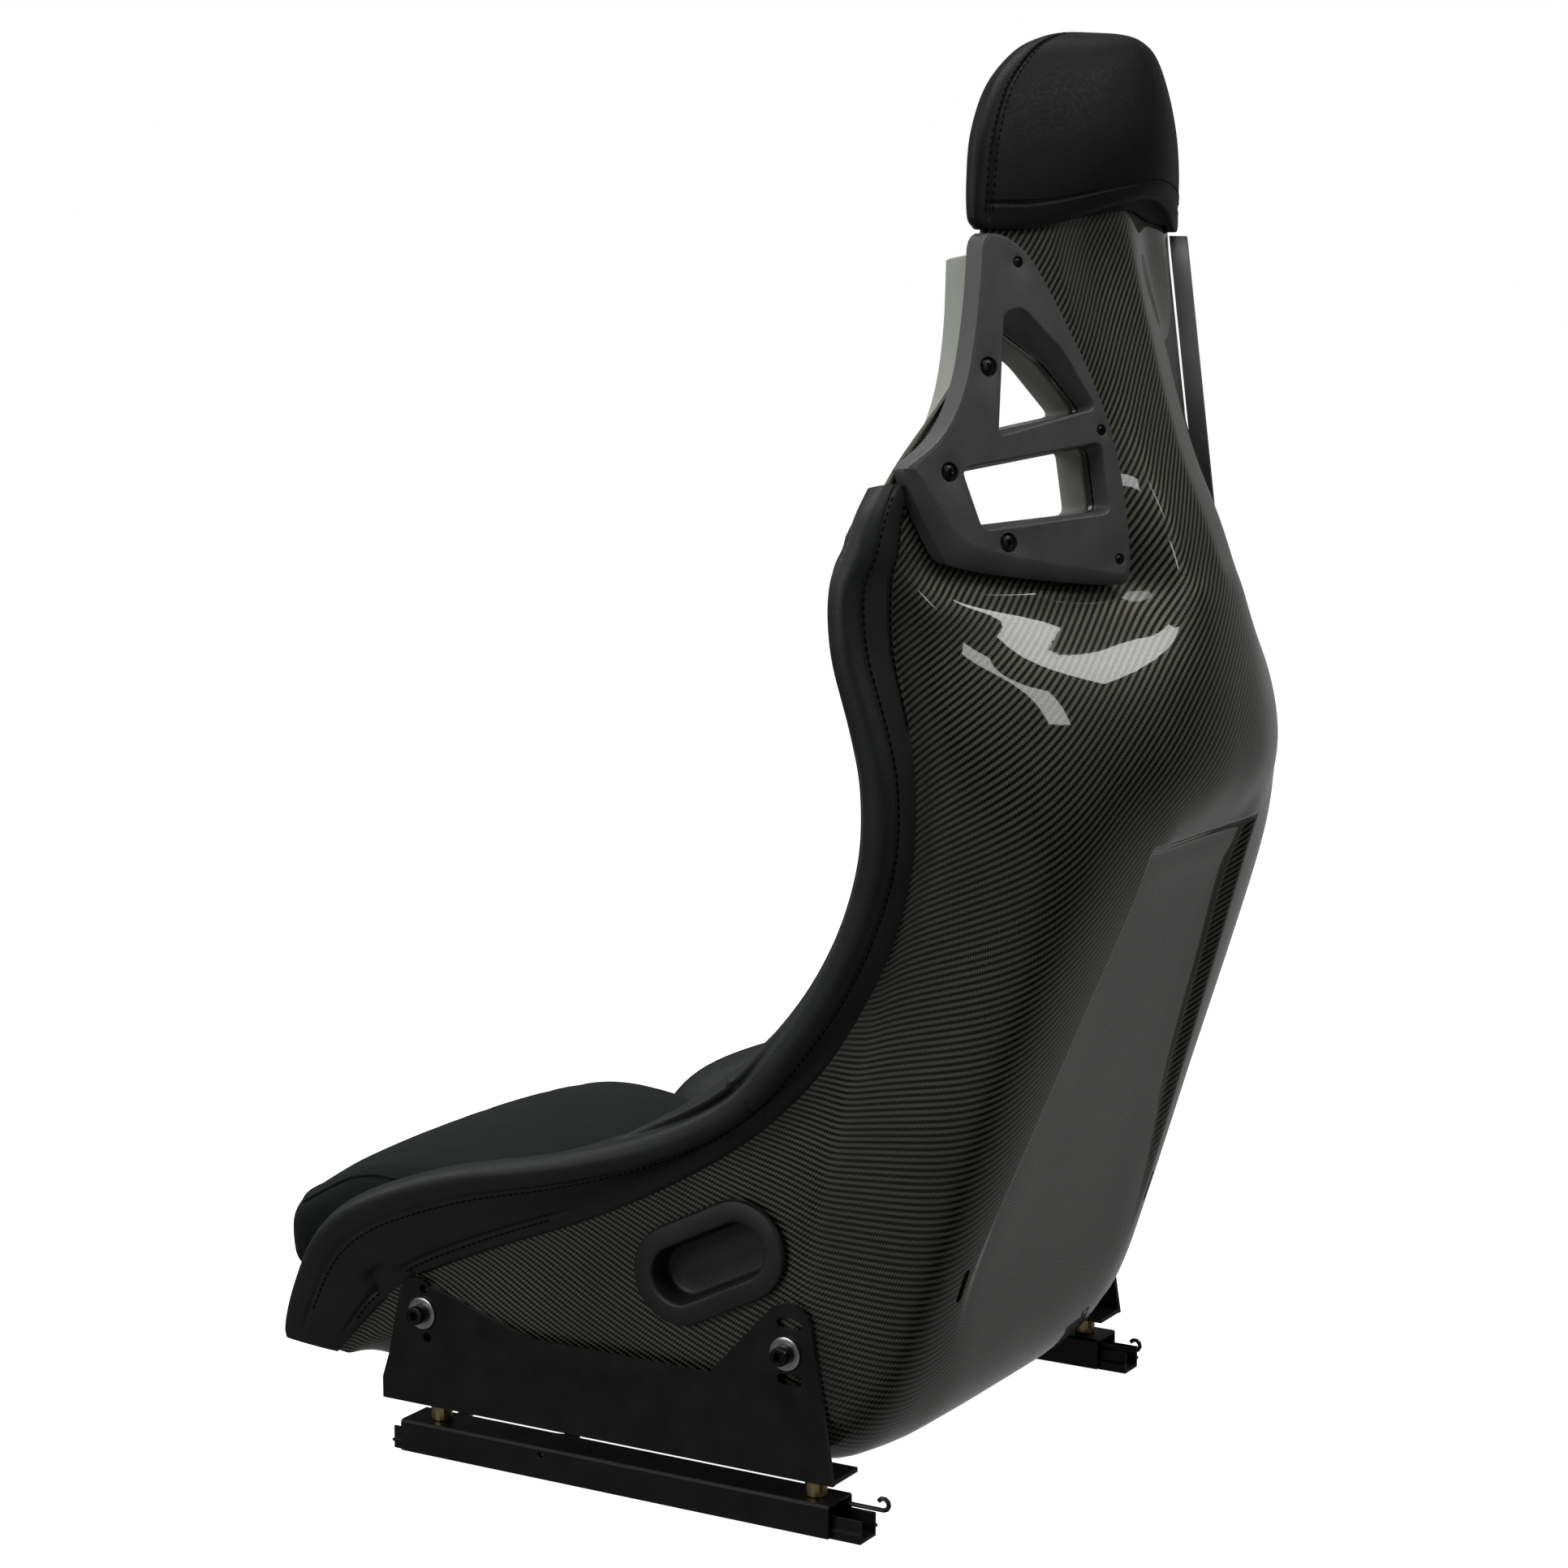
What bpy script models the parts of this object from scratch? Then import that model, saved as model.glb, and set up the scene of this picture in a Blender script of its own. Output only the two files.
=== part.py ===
"""Bucket racing seat on sliding rails: carbon shell, trimmed edges, harness guides, side mounts and slides.

Metres, +Z up. The seat faces -Y and +X is the sitter's left. X = 0 is the plane of symmetry, and the
undersides of the lower rails stand on Z = 0. Lengths along Y below are measured from the datum of the side
mounts, and the root empty moves that datum so that the whole seat stands centred on the origin.
"""

import math

import bmesh
import bpy
import numpy as np
from mathutils import Matrix, Vector

# ---------------------------------------------------------------- driving dimensions
DATUM_Y = 0.0245            # the side mounts' datum lies this far ahead of the origin
TOUCH = 0.0004              # gap kept between pieces that rest on each other

SHELL_THICK = 0.0036        # carbon laminate
PAD_GAP = 0.0008            # gap between the laminate and a pad on it
BOLSTER_SKIN = 0.0050       # leather and foam over the laminate's outer face
BOLSTER_PAD = 0.0200        # padding over its inner face
BOLSTER_SLACK = 0.0018      # gap between the bolster and the laminate's edge inside it

PLATE_X = 0.2200            # outer face of a side mount
PLATE_THICK = 0.0035
BOLT_FRONT = (-0.141, 0.104)    # (y, z) of the side mounts' bolts, 290 mm apart
BOLT_REAR = (0.149, 0.122)
INSERT_X = 0.2070           # outer face of a threaded insert, inside the shell's side

RAIL_X = 0.2030             # centre plane of a slide
RAIL_WIDTH = 0.0320
RAIL_TOP = 0.0240
RAIL_WALL = 0.0022
RAIL_FOOT = 0.0015          # the upper rail clears the floor by this much
UPPER_RAIL_Y = (-0.162, 0.180)
LOWER_RAIL_Y = (-0.172, 0.201)
FLANGE_Z = 0.0380           # underside of a side mount's flange
FLANGE_THICK = 0.0032
SPACER_Y = (-0.138, 0.162)

RELEASE_Y = -0.045          # axis of the release bar
RELEASE_Z = 0.0187
RELEASE_BAR_Y = -0.150
RELEASE_BAR_R = 0.0035
RELEASE_ARM_X = 0.1815

WING_BASE_Y = 0.4295        # harness guide face: y = base + slope_x * |x| + slope_z * z
WING_SLOPE_X = -0.4428
WING_SLOPE_Z = -0.1300
WING_RISE = 0.0140          # height of the harness guide's cover over the laminate
WING_TRIM_DEPTH = 0.0150    # depth of its front half

# Sections of the shell's outer face, from the front lip of the pan, round the tub, up the back and into the
# headrest. Each has seven points from the centre to the rim: centre, spine edge, panel edge, flank, side,
# leather seam and rim.
SHELL_SECTIONS = [
    [(0, -0.205, 0.062), (0.07, -0.205, 0.062), (0.13, -0.206, 0.060), (0.178, -0.207, 0.060),
     (0.211, -0.209, 0.062), (0.216, -0.217, 0.064), (0.236, -0.243, 0.0745)],
    [(0, -0.165, 0.045), (0.07, -0.165, 0.045), (0.13, -0.166, 0.045), (0.180, -0.167, 0.049),
     (0.2140, -0.166, 0.083), (0.2155, -0.160, 0.120), (0.240, -0.203, 0.157)],
    [(0, -0.090, 0.036), (0.07, -0.090, 0.036), (0.13, -0.090, 0.036), (0.181, -0.090, 0.044),
     (0.2148, -0.090, 0.095), (0.2162, -0.086, 0.157), (0.243, -0.112, 0.201)],
    [(0, 0.000, 0.032), (0.07, 0.000, 0.032), (0.13, 0.000, 0.032), (0.182, 0.000, 0.042),
     (0.2150, 0.000, 0.104), (0.2175, 0.000, 0.193), (0.245, -0.016, 0.224)],
    [(0, 0.097, 0.031), (0.07, 0.097, 0.031), (0.13, 0.097, 0.031), (0.183, 0.096, 0.042),
     (0.2150, 0.092, 0.106), (0.2180, 0.072, 0.232), (0.246, 0.068, 0.250)],
    [(0, 0.167, 0.033), (0.07, 0.167, 0.033), (0.13, 0.167, 0.034), (0.186, 0.162, 0.047),
     (0.2150, 0.148, 0.112), (0.2188, 0.125, 0.268), (0.247, 0.131, 0.284)],
    [(0, 0.214, 0.072), (0.07, 0.214, 0.073), (0.13, 0.211, 0.077), (0.182, 0.199, 0.094),
     (0.2140, 0.166, 0.172), (0.2195, 0.168, 0.306), (0.248, 0.170, 0.328)],
    [(0, 0.236, 0.155), (0.07, 0.237, 0.155), (0.14, 0.238, 0.156), (0.182, 0.223, 0.170),
     (0.2130, 0.182, 0.236), (0.2200, 0.198, 0.345), (0.249, 0.198, 0.366)],
    [(0, 0.265, 0.250), (0.06, 0.266, 0.250), (0.121, 0.272, 0.250), (0.174, 0.257, 0.262),
     (0.2105, 0.210, 0.308), (0.2203, 0.223, 0.392), (0.250, 0.221, 0.410)],
    [(0, 0.297, 0.342), (0.055, 0.298, 0.342), (0.102, 0.305, 0.342), (0.166, 0.291, 0.352),
     (0.2090, 0.240, 0.386), (0.2210, 0.238, 0.446), (0.252, 0.237, 0.458)],
    [(0, 0.330, 0.430), (0.045, 0.331, 0.430), (0.084, 0.337, 0.432), (0.155, 0.321, 0.440),
     (0.2090, 0.266, 0.456), (0.2225, 0.242, 0.496), (0.254, 0.239, 0.504)],
    [(0, 0.367, 0.490), (0.045, 0.365, 0.490), (0.095, 0.352, 0.493), (0.156, 0.319, 0.498),
     (0.2100, 0.266, 0.510), (0.2245, 0.238, 0.538), (0.258, 0.232, 0.542)],
    [(0, 0.365, 0.550), (0.045, 0.361, 0.550), (0.095, 0.342, 0.553), (0.154, 0.303, 0.560),
     (0.2100, 0.254, 0.568), (0.2280, 0.229, 0.584), (0.262, 0.221, 0.584)],
    [(0, 0.356, 0.597), (0.044, 0.349, 0.597), (0.080, 0.322, 0.596), (0.136, 0.289, 0.597),
     (0.1985, 0.2555, 0.605), (0.2295, 0.229, 0.626), (0.261, 0.218, 0.622)],
    [(0, 0.349, 0.621), (0.043, 0.341, 0.620), (0.069, 0.3030, 0.619), (0.132, 0.2753, 0.618),
     (0.1900, 0.2486, 0.625), (0.2260, 0.2305, 0.644), (0.254, 0.224, 0.645)],
    [(0, 0.338, 0.650), (0.041, 0.331, 0.650), (0.069, 0.2990, 0.650), (0.128, 0.2729, 0.650),
     (0.1820, 0.2485, 0.654), (0.2200, 0.2300, 0.667), (0.243, 0.226, 0.670)],
    [(0, 0.317, 0.700), (0.041, 0.309, 0.700), (0.068, 0.2930, 0.700), (0.118, 0.2708, 0.700),
     (0.1680, 0.2487, 0.700), (0.2020, 0.2337, 0.700), (0.2160, 0.2275, 0.699)],
    [(0, 0.299, 0.760), (0.042, 0.290, 0.760), (0.075, 0.2821, 0.760), (0.098, 0.2719, 0.760),
     (0.1260, 0.2595, 0.760), (0.1490, 0.2493, 0.760), (0.160, 0.2445, 0.760)],
    [(0, 0.283, 0.822), (0.045, 0.272, 0.820), (0.083, 0.2697, 0.817), (0.104, 0.2620, 0.816),
     (0.1230, 0.2535, 0.816), (0.1380, 0.2469, 0.816), (0.147, 0.2429, 0.816)],
    [(0, 0.275, 0.862), (0.048, 0.267, 0.858), (0.083, 0.2625, 0.851), (0.105, 0.2575, 0.846),
     (0.1200, 0.2515, 0.843), (0.1300, 0.2475, 0.842), (0.138, 0.2445, 0.842)],
    [(0, 0.273, 0.900), (0.040, 0.268, 0.899), (0.068, 0.263, 0.895), (0.086, 0.259, 0.893),
     (0.1000, 0.255, 0.891), (0.1090, 0.252, 0.889), (0.116, 0.250, 0.888)],
    [(0, 0.263, 0.938), (0.028, 0.261, 0.937), (0.050, 0.257, 0.934), (0.063, 0.254, 0.931),
     (0.0730, 0.251, 0.928), (0.0790, 0.249, 0.924), (0.083, 0.247, 0.921)],
]
RIM = len(SHELL_SECTIONS[0]) - 1        # column of the rim
SEAM = RIM - 1                          # column where the leather begins
SHOULDER = 15.6                         # row where the leather ends, at the harness guide's corner
TOP = len(SHELL_SECTIONS) - 1

COLLECTION = "racing_seat"
CUTTERS = "cutters"


# ---------------------------------------------------------------- scene and materials
def clear_scene():
    for obj in list(bpy.data.objects):
        bpy.data.objects.remove(obj, do_unlink=True)
    for name in (COLLECTION, CUTTERS):
        found = bpy.data.collections.new(name)
        bpy.context.scene.collection.children.link(found)


def material(name, colour, roughness, metallic=0.0, coat=0.0):
    made = bpy.data.materials.new(name)
    made.use_nodes = True
    shader = made.node_tree.nodes["Principled BSDF"]
    shader.inputs["Base Color"].default_value = (*colour, 1.0)
    shader.inputs["Roughness"].default_value = roughness
    shader.inputs["Metallic"].default_value = metallic
    shader.inputs["Coat Weight"].default_value = coat
    made.diffuse_color = (*colour, 1.0)
    return made


def make_materials():
    return {
        "carbon": material("carbon", (0.030, 0.030, 0.028), 0.30, coat=1.0),
        "leather": material("leather", (0.018, 0.019, 0.020), 0.55),
        "fabric": material("fabric", (0.016, 0.018, 0.018), 0.90),
        "grey_trim": material("grey_trim", (0.085, 0.092, 0.080), 0.65),
        "black_plastic": material("black_plastic", (0.020, 0.020, 0.021), 0.50),
        "black_steel": material("black_steel", (0.014, 0.015, 0.016), 0.40, metallic=0.3),
        "bolt_steel": material("bolt_steel", (0.045, 0.045, 0.048), 0.35, metallic=1.0),
        "zinc": material("zinc", (0.70, 0.69, 0.66), 0.32, metallic=1.0),
        "brass": material("brass", (0.62, 0.50, 0.24), 0.35, metallic=1.0),
        "spring_steel": material("spring_steel", (0.45, 0.45, 0.46), 0.30, metallic=1.0),
    }


# ---------------------------------------------------------------- mesh helpers
def add_object(name, mesh, slot=None, collection=COLLECTION):
    obj = bpy.data.objects.new(name, mesh)
    bpy.data.collections[collection].objects.link(obj)
    if slot:
        mesh.materials.clear()
        mesh.materials.append(MATERIALS[slot])
        obj.parent = ROOT
    return obj


def mesh_from(name, points, faces):
    """Closed mesh with its faces turned outwards."""
    mesh = bpy.data.meshes.new(name)
    mesh.from_pydata([tuple(p) for p in points], [], faces)
    work = bmesh.new()
    work.from_mesh(mesh)
    bmesh.ops.recalc_face_normals(work, faces=work.faces)
    work.to_mesh(mesh)
    work.free()
    return mesh


def loft(name, rings):
    """Closed mesh through rings of equal length, with a flat face over each end."""
    count = len(rings[0])
    points = [p for ring in rings for p in ring]
    faces = [list(range(count)), list(range(len(points) - count, len(points)))]
    for r in range(len(rings) - 1):
        for i in range(count):
            j = (i + 1) % count
            faces.append([r * count + i, r * count + j, (r + 1) * count + j, (r + 1) * count + i])
    return mesh_from(name, points, faces)


def prism(name, outline, axis, start, end):
    """Flat outline pushed along an axis; the outline's two numbers are the other two axes in order."""
    def point(pair, along):
        values = list(pair)
        values.insert(axis, along)
        return values
    return loft(name, [[point(pair, along) for pair in outline] for along in (start, end)])


def box(name, low, high):
    outline = [(low[0], low[2]), (high[0], low[2]), (high[0], high[2]), (low[0], high[2])]
    return prism(name, outline, 1, low[1], high[1])


def side_box(name, low, high, side):
    """Box on one side of the seat, given by its corners on the left side."""
    return box(name, (low[0] * side, low[1], low[2]), (high[0] * side, high[1], high[2]))


def turned(name, profile, sides):
    """Mesh turned about Z from (radius, height) pairs that run down the outer side."""
    mesh = bpy.data.meshes.new(name)
    edges = [(i, i + 1) for i in range(len(profile) - 1)]
    if profile[0][0] > 0:
        edges.append((len(profile) - 1, 0))
    mesh.from_pydata([(r, 0.0, h) for r, h in profile], edges, [])
    obj = bpy.data.objects.new(name, mesh)
    bpy.context.scene.collection.objects.link(obj)
    screw = obj.modifiers.new("turn", "SCREW")
    screw.steps = sides
    screw.render_steps = sides
    screw.use_merge_vertices = True
    screw.merge_threshold = 0.00001
    made = evaluated_mesh(obj)
    bpy.data.objects.remove(obj)
    return made


def evaluated_mesh(obj):
    """The object's mesh after its modifiers, welded and facing out."""
    depsgraph = bpy.context.evaluated_depsgraph_get()
    depsgraph.update()
    mesh = bpy.data.meshes.new_from_object(obj.evaluated_get(depsgraph))
    work = bmesh.new()
    work.from_mesh(mesh)
    bmesh.ops.remove_doubles(work, verts=work.verts, dist=0.00001)
    bmesh.ops.recalc_face_normals(work, faces=work.faces)
    work.to_mesh(mesh)
    work.free()
    return mesh


def tube_mesh(name, path, radius):
    """Round bar with closed ends along a path of points."""
    curve = bpy.data.curves.new(name, "CURVE")
    curve.dimensions = "3D"
    curve.bevel_depth = radius
    curve.bevel_resolution = 2
    curve.use_fill_caps = True
    spline = curve.splines.new("POLY")
    spline.points.add(len(path) - 1)
    for target, point in zip(spline.points, path):
        target.co = (*point, 1.0)
    obj = bpy.data.objects.new(name, curve)
    bpy.context.scene.collection.objects.link(obj)
    mesh = evaluated_mesh(obj)
    bpy.data.objects.remove(obj)
    return mesh


def copies(name, mesh, places):
    """One mesh holding a copy of another at each placing matrix."""
    work = bmesh.new()
    for place in places:
        part = mesh.copy()
        part.transform(place)
        work.from_mesh(part)
    bmesh.ops.recalc_face_normals(work, faces=work.faces)
    made = bpy.data.meshes.new(name)
    work.to_mesh(made)
    work.free()
    return made


def cut(obj, cutter_mesh, operation="DIFFERENCE"):
    """Boolean modifier with a hidden cutter that holds the given mesh."""
    cutter = add_object(f"cut_{obj.name}_{len(obj.modifiers)}", cutter_mesh, collection=CUTTERS)
    cutter.parent = ROOT
    cutter.hide_render = True
    cutter.display_type = "WIRE"
    modifier = obj.modifiers.new(operation.lower(), "BOOLEAN")
    modifier.operation = operation
    modifier.solver = "EXACT"
    modifier.object = cutter


def shade_round(obj, angle=35.0):
    obj.data.shade_smooth()
    obj.data.set_sharp_from_angle(angle=math.radians(angle))


def along_x(x, y, z, side):
    """Placing of a turned piece whose own Z points outwards along the seat's side."""
    turn = Matrix.Rotation(math.radians(90.0) * side, 4, "Y")
    return Matrix.Translation((x * side, y, z)) @ turn


def upright(side, y, z):
    """Placing of a turned piece that stands on the centre plane of a slide."""
    return Matrix.Translation((RAIL_X * side, y, z))


def add_fastener(name, mesh, place, slot):
    own = mesh.copy()
    own.name = name
    fastener = add_object(name, own, slot)
    fastener.matrix_local = place
    shade_round(fastener)


def arc(centre, radius, start, end, steps):
    """Points of an arc in a plane, angles in degrees."""
    angles = [math.radians(start + (end - start) * i / steps) for i in range(steps + 1)]
    return [(centre[0] + radius * math.cos(a), centre[1] + radius * math.sin(a)) for a in angles]


def stadium(centre, length, width, tilt, steps=6):
    """Long round-ended outline about a centre, its long axis turned by the tilt in degrees."""
    half = (length - width) / 2
    ends = arc((half, 0), width / 2, -90, 90, steps) + arc((-half, 0), width / 2, 90, 270, steps)
    c, s = math.cos(math.radians(tilt)), math.sin(math.radians(tilt))
    return [(centre[0] + a * c - b * s, centre[1] + a * s + b * c) for a, b in ends]


def rounded(corners, radius, steps=3):
    """Outline through the corners, each one rounded by a short curve."""
    outline = []
    for i, corner in enumerate(corners):
        here = Vector(corner)
        before = (Vector(corners[i - 1]) - here)
        after = (Vector(corners[(i + 1) % len(corners)]) - here)
        first = here + before.normalized() * min(radius, before.length * 0.45)
        last = here + after.normalized() * min(radius, after.length * 0.45)
        for k in range(steps + 1):
            t = k / steps
            point = first * (1 - t) ** 2 + here * (2 * t * (1 - t)) + last * t ** 2
            outline.append((point.x, point.y))
    return outline


# ---------------------------------------------------------------- the shell's surface
def spline_weights(count, values):
    """Weights of a Catmull-Rom curve through so many points, one row for each value of its parameter."""
    rows = np.zeros((len(values), count))
    for r, value in enumerate(values):
        i = int(min(max(math.floor(value), 0), count - 2))
        t = value - i
        blend = (
            (-t + 2 * t ** 2 - t ** 3) / 2,
            (2 - 5 * t ** 2 + 3 * t ** 3) / 2,
            (t + 4 * t ** 2 - 3 * t ** 3) / 2,
            (-t ** 2 + t ** 3) / 2,
        )
        for k, weight in zip(range(i - 1, i + 3), blend):
            if k < 0:
                rows[r, 0] += 2 * weight
                rows[r, 1] -= weight
            elif k >= count:
                rows[r, count - 1] += 2 * weight
                rows[r, count - 2] -= weight
            else:
                rows[r, k] += weight
    return rows


def full_net():
    """Control points from the right rim to the left rim, for every section."""
    net = []
    for section in SHELL_SECTIONS:
        right = [(-x, y, z) for x, y, z in section[:0:-1]]
        net.append(right + [tuple(p) for p in section])
    return np.array(net, float)


def shell_grid(columns, rows, offset=0.0):
    """Points on the shell's outer face, moved outwards by the offset. Columns run from -RIM to RIM."""
    net = full_net()
    columns = np.asarray(columns, float)
    rows = np.asarray(rows, float)

    def surface(us, vs):
        across = spline_weights(net.shape[1], us + RIM)
        along = spline_weights(net.shape[0], vs)
        return np.einsum("ri,ijk,cj->rck", along, net, across)

    step = 0.02
    du = surface(columns + step, rows) - surface(columns - step, rows)
    dv = surface(columns, rows + step) - surface(columns, rows - step)
    normal = np.cross(du, dv)
    normal /= np.linalg.norm(normal, axis=2, keepdims=True)
    offsets = np.broadcast_to(np.asarray(offset, float), (len(rows), len(columns)))
    return surface(columns, rows) - normal * offsets[..., None]


FLAT_COLUMNS = 3                        # the middle of the shell needs no points between its own columns
SIDE_COLUMNS = np.arange(FLAT_COLUMNS, RIM + 0.01, 0.5)
MIDDLE_COLUMNS = np.arange(1 - FLAT_COLUMNS, FLAT_COLUMNS)
SHELL_COLUMNS = np.concatenate([-SIDE_COLUMNS[::-1], MIDDLE_COLUMNS, SIDE_COLUMNS])
STRAIGHT_ROWS = (2, 3, 7, 8, 14, 15, 16, 17)    # no row of points is needed halfway past these
SHELL_ROWS = np.array([r for r in np.arange(0, TOP + 0.01, 0.5) if r - 0.5 not in STRAIGHT_ROWS])


def slab(name, outer, inner):
    """Closed mesh between two grids of points of the same size."""
    rows, columns = outer.shape[:2]
    points = np.vstack([outer.reshape(-1, 3), inner.reshape(-1, 3)])
    far = rows * columns
    faces = []
    for r in range(rows - 1):
        for c in range(columns - 1):
            a = r * columns + c
            quad = [a, a + columns, a + columns + 1, a + 1]
            if 2 * c < columns - 1:
                quad = quad[1:] + quad[:1]
            for triangle in (quad[:3], [quad[2], quad[3], quad[0]]):
                faces.append(triangle)
                faces.append([far + i for i in reversed(triangle)])
    edge = [c for c in range(columns)] + [r * columns + columns - 1 for r in range(1, rows)]
    edge += [far - 1 - c for c in range(1, columns)] + [r * columns for r in range(rows - 2, 0, -1)]
    for i, a in enumerate(edge):
        b = edge[(i + 1) % len(edge)]
        faces.append([a, b, far + b, far + a])
    return mesh_from(name, points, faces)


def envelope(name, rows, grow):
    """Closed mesh that encloses the laminate between two rows with a margin all round."""
    reach = np.array(SHELL_COLUMNS)
    reach[0] -= 0.4
    reach[-1] += 0.4
    return slab(name, shell_grid(reach, rows, grow), shell_grid(reach, rows, -SHELL_THICK - grow))


def pad_mesh(name, columns, rows, thickness):
    """Pad on the shell's inner face; it thins towards its ends like a cushion."""
    back = -SHELL_THICK - PAD_GAP
    span = np.linspace(-1, 1, len(rows))
    across = np.linspace(-1, 1, len(columns))
    dome = (1 - 0.35 * np.abs(span[:, None]) ** 3) * (1 - 0.35 * np.abs(across[None, :]) ** 3)
    return slab(name, shell_grid(columns, rows, back), shell_grid(columns, rows, back - thickness * dome))


# ---------------------------------------------------------------- shell
def wing_point(x, z, height, side=1):
    """Point over the harness guide's plane: height is measured out of its face."""
    normal = Vector((-WING_SLOPE_X, 1.0, -WING_SLOPE_Z)).normalized()
    point = Vector((x, WING_BASE_Y + WING_SLOPE_X * x + WING_SLOPE_Z * z, z)) + normal * height
    return (point.x * side, point.y, point.z)


WINDOW_TOP = [(0.1415, 0.779), (0.1140, 0.760), (0.0870, 0.727), (0.1570, 0.7165)]
WINDOW_LOW = [(0.1870, 0.692), (0.0850, 0.7050), (0.0840, 0.6640), (0.1790, 0.6590)]


def window_outlines():
    return [rounded(WINDOW_TOP, 0.006), rounded(WINDOW_LOW, 0.006)]


def wing_cutter(name, outline, side, low, high):
    rings = [[wing_point(x, z, h, side) for x, z in outline] for h in (low, high)]
    return loft(name, rings)


BELT_GUIDE_CENTRE = (0.091, 0.174)
BELT_GUIDE_TILT = 26.6


def make_shell():
    outer = shell_grid(SHELL_COLUMNS, SHELL_ROWS)
    inner = shell_grid(SHELL_COLUMNS, SHELL_ROWS, -SHELL_THICK)
    shell = add_object("seat_shell", slab("seat_shell", outer, inner), "carbon")
    for side in (1, -1):
        for outline in window_outlines():
            cut(shell, wing_cutter("window", outline, side, -0.045, 0.02))
        oval = stadium(BELT_GUIDE_CENTRE, 0.094, 0.042, BELT_GUIDE_TILT)
        cut(shell, prism("oval", oval, 0, 0.190 * side, 0.235 * side))
        for y, z in (BOLT_FRONT, BOLT_REAR):
            hole = turned("hole", [(0, 0.03), (0.0046, 0.03), (0.0046, -0.03), (0, -0.03)], 12)
            cut(shell, copies("bolt_hole", hole, [along_x(0.212, y, z, side)]))
    shade_round(shell)
    return shell


# ---------------------------------------------------------------- trim on the shell's edge
def bolster_rings(side):
    """C-shaped sections that wrap the laminate's edge from the front lip to the shoulder."""
    rings = []
    middle = (SEAM + RIM) / 2
    slot = (BOLSTER_SLACK, -SHELL_THICK - BOLSTER_SLACK)
    for row in [r for r in SHELL_ROWS if r <= SHOULDER] + [SHOULDER]:
        full = min(1.0, (row + 0.6) / 1.4, (SHOULDER - row + 0.8) / 2.0)
        pad = -SHELL_THICK - BOLSTER_PAD * full

        def on(column, offset, past=0.0):
            point = shell_grid([column * side], [row], offset)[0, 0]
            inward = shell_grid([(column - 0.02) * side], [row], offset)[0, 0]
            return point + (point - inward) / np.linalg.norm(point - inward) * past

        rings.append([
            on(SEAM, slot[0]), on(middle, slot[0]), on(RIM, slot[0], 0.0010),
            on(RIM, slot[1], 0.0010), on(middle, slot[1]), on(SEAM, slot[1]),
            on(SEAM, pad * 0.75), on(middle, pad), on(RIM, pad * 0.55, 0.0050),
            on(RIM, -0.006, 0.0095), on(RIM, BOLSTER_SKIN * 0.8, 0.0040),
            on(middle, BOLSTER_SKIN), on(SEAM, BOLSTER_SKIN * 0.55),
        ])
    return rings


def make_bolster(side, suffix):
    bolster = add_object(f"side_bolster_{suffix}", loft("side_bolster", bolster_rings(side)), "leather")
    low = (PLATE_X - PLATE_THICK - 0.001, -0.175, 0.09)
    high = (PLATE_X + 0.0005, -0.105, 0.142)
    cut(bolster, side_box("tab_relief", low, high, side))
    grown = [(0.14 + (x - 0.14) * 1.015, 0.70 + (z - 0.70) * 1.015) for x, z in COVER_FOOT]
    cut(bolster, wing_cutter("guide_clearance", grown, side, -WING_RISE, 0.02))
    shade_round(bolster)


# Half of a level section of the headrest, from the middle of its back round the side to the middle of its
# front: share of the half width, share of the depth.
HEADREST_SECTION = [
    (0, 0), (0.36, 0.10), (0.70, 0.29), (0.91, 0.42), (1.0, 0.50), (0.94, 0.59), (0.76, 0.71),
    (0.50, 0.85), (0.25, 0.95), (0, 1.0),
]


def headrest_ring(z, half_width, back, front, arch):
    """Level ring of the headrest; arch raises the lower edge in the middle of its back."""
    half = [(x * half_width, back + (front - back) * depth, depth) for x, depth in HEADREST_SECTION]
    whole = half + [(-x, y, depth) for x, y, depth in half[-2:0:-1]]
    ring = []
    for x, y, depth in whole:
        lift = arch * max(0.0, 1 - 3 * depth) * (1 - (x / half_width) ** 2)
        ring.append((x, y, z + lift))
    return ring


def make_headrest():
    rings = [
        headrest_ring(0.840, 0.147, 0.291, 0.200, 0.020),
        headrest_ring(0.848, 0.152, 0.297, 0.190, 0.018),
        headrest_ring(0.870, 0.148, 0.301, 0.184, 0.010),
        headrest_ring(0.900, 0.139, 0.301, 0.182, 0.004),
        headrest_ring(0.930, 0.120, 0.297, 0.188, 0.0),
        headrest_ring(0.952, 0.092, 0.291, 0.202, 0.0),
        headrest_ring(0.966, 0.052, 0.278, 0.228, 0.0),
    ]
    headrest = add_object("headrest_cover", loft("headrest_cover", rings), "leather")
    rows = [TOP - 3.5] + [r for r in SHELL_ROWS if r >= TOP - 3] + [TOP + 0.08]
    cut(headrest, envelope("shell_core", rows, 0.0013))
    shade_round(headrest)


# ---------------------------------------------------------------- cushions
def make_pads():
    back_rows = SHELL_ROWS[(SHELL_ROWS >= 9.5) & (SHELL_ROWS <= 13)]
    lumbar_rows = SHELL_ROWS[(SHELL_ROWS >= 6) & (SHELL_ROWS <= 9)]
    neck_rows = SHELL_ROWS[(SHELL_ROWS >= 15) & (SHELL_ROWS <= 18)]
    wide = SHELL_COLUMNS[np.abs(SHELL_COLUMNS) <= 4]
    narrow = SHELL_COLUMNS[np.abs(SHELL_COLUMNS) <= 1]
    add_object("shoulder_cushion", pad_mesh("shoulder_cushion", wide, back_rows, 0.036), "fabric")
    add_object("lumbar_cushion", pad_mesh("lumbar_cushion", wide, lumbar_rows, 0.040), "fabric")
    add_object("neck_cushion", pad_mesh("neck_cushion", narrow, neck_rows, 0.030), "fabric")


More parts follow.
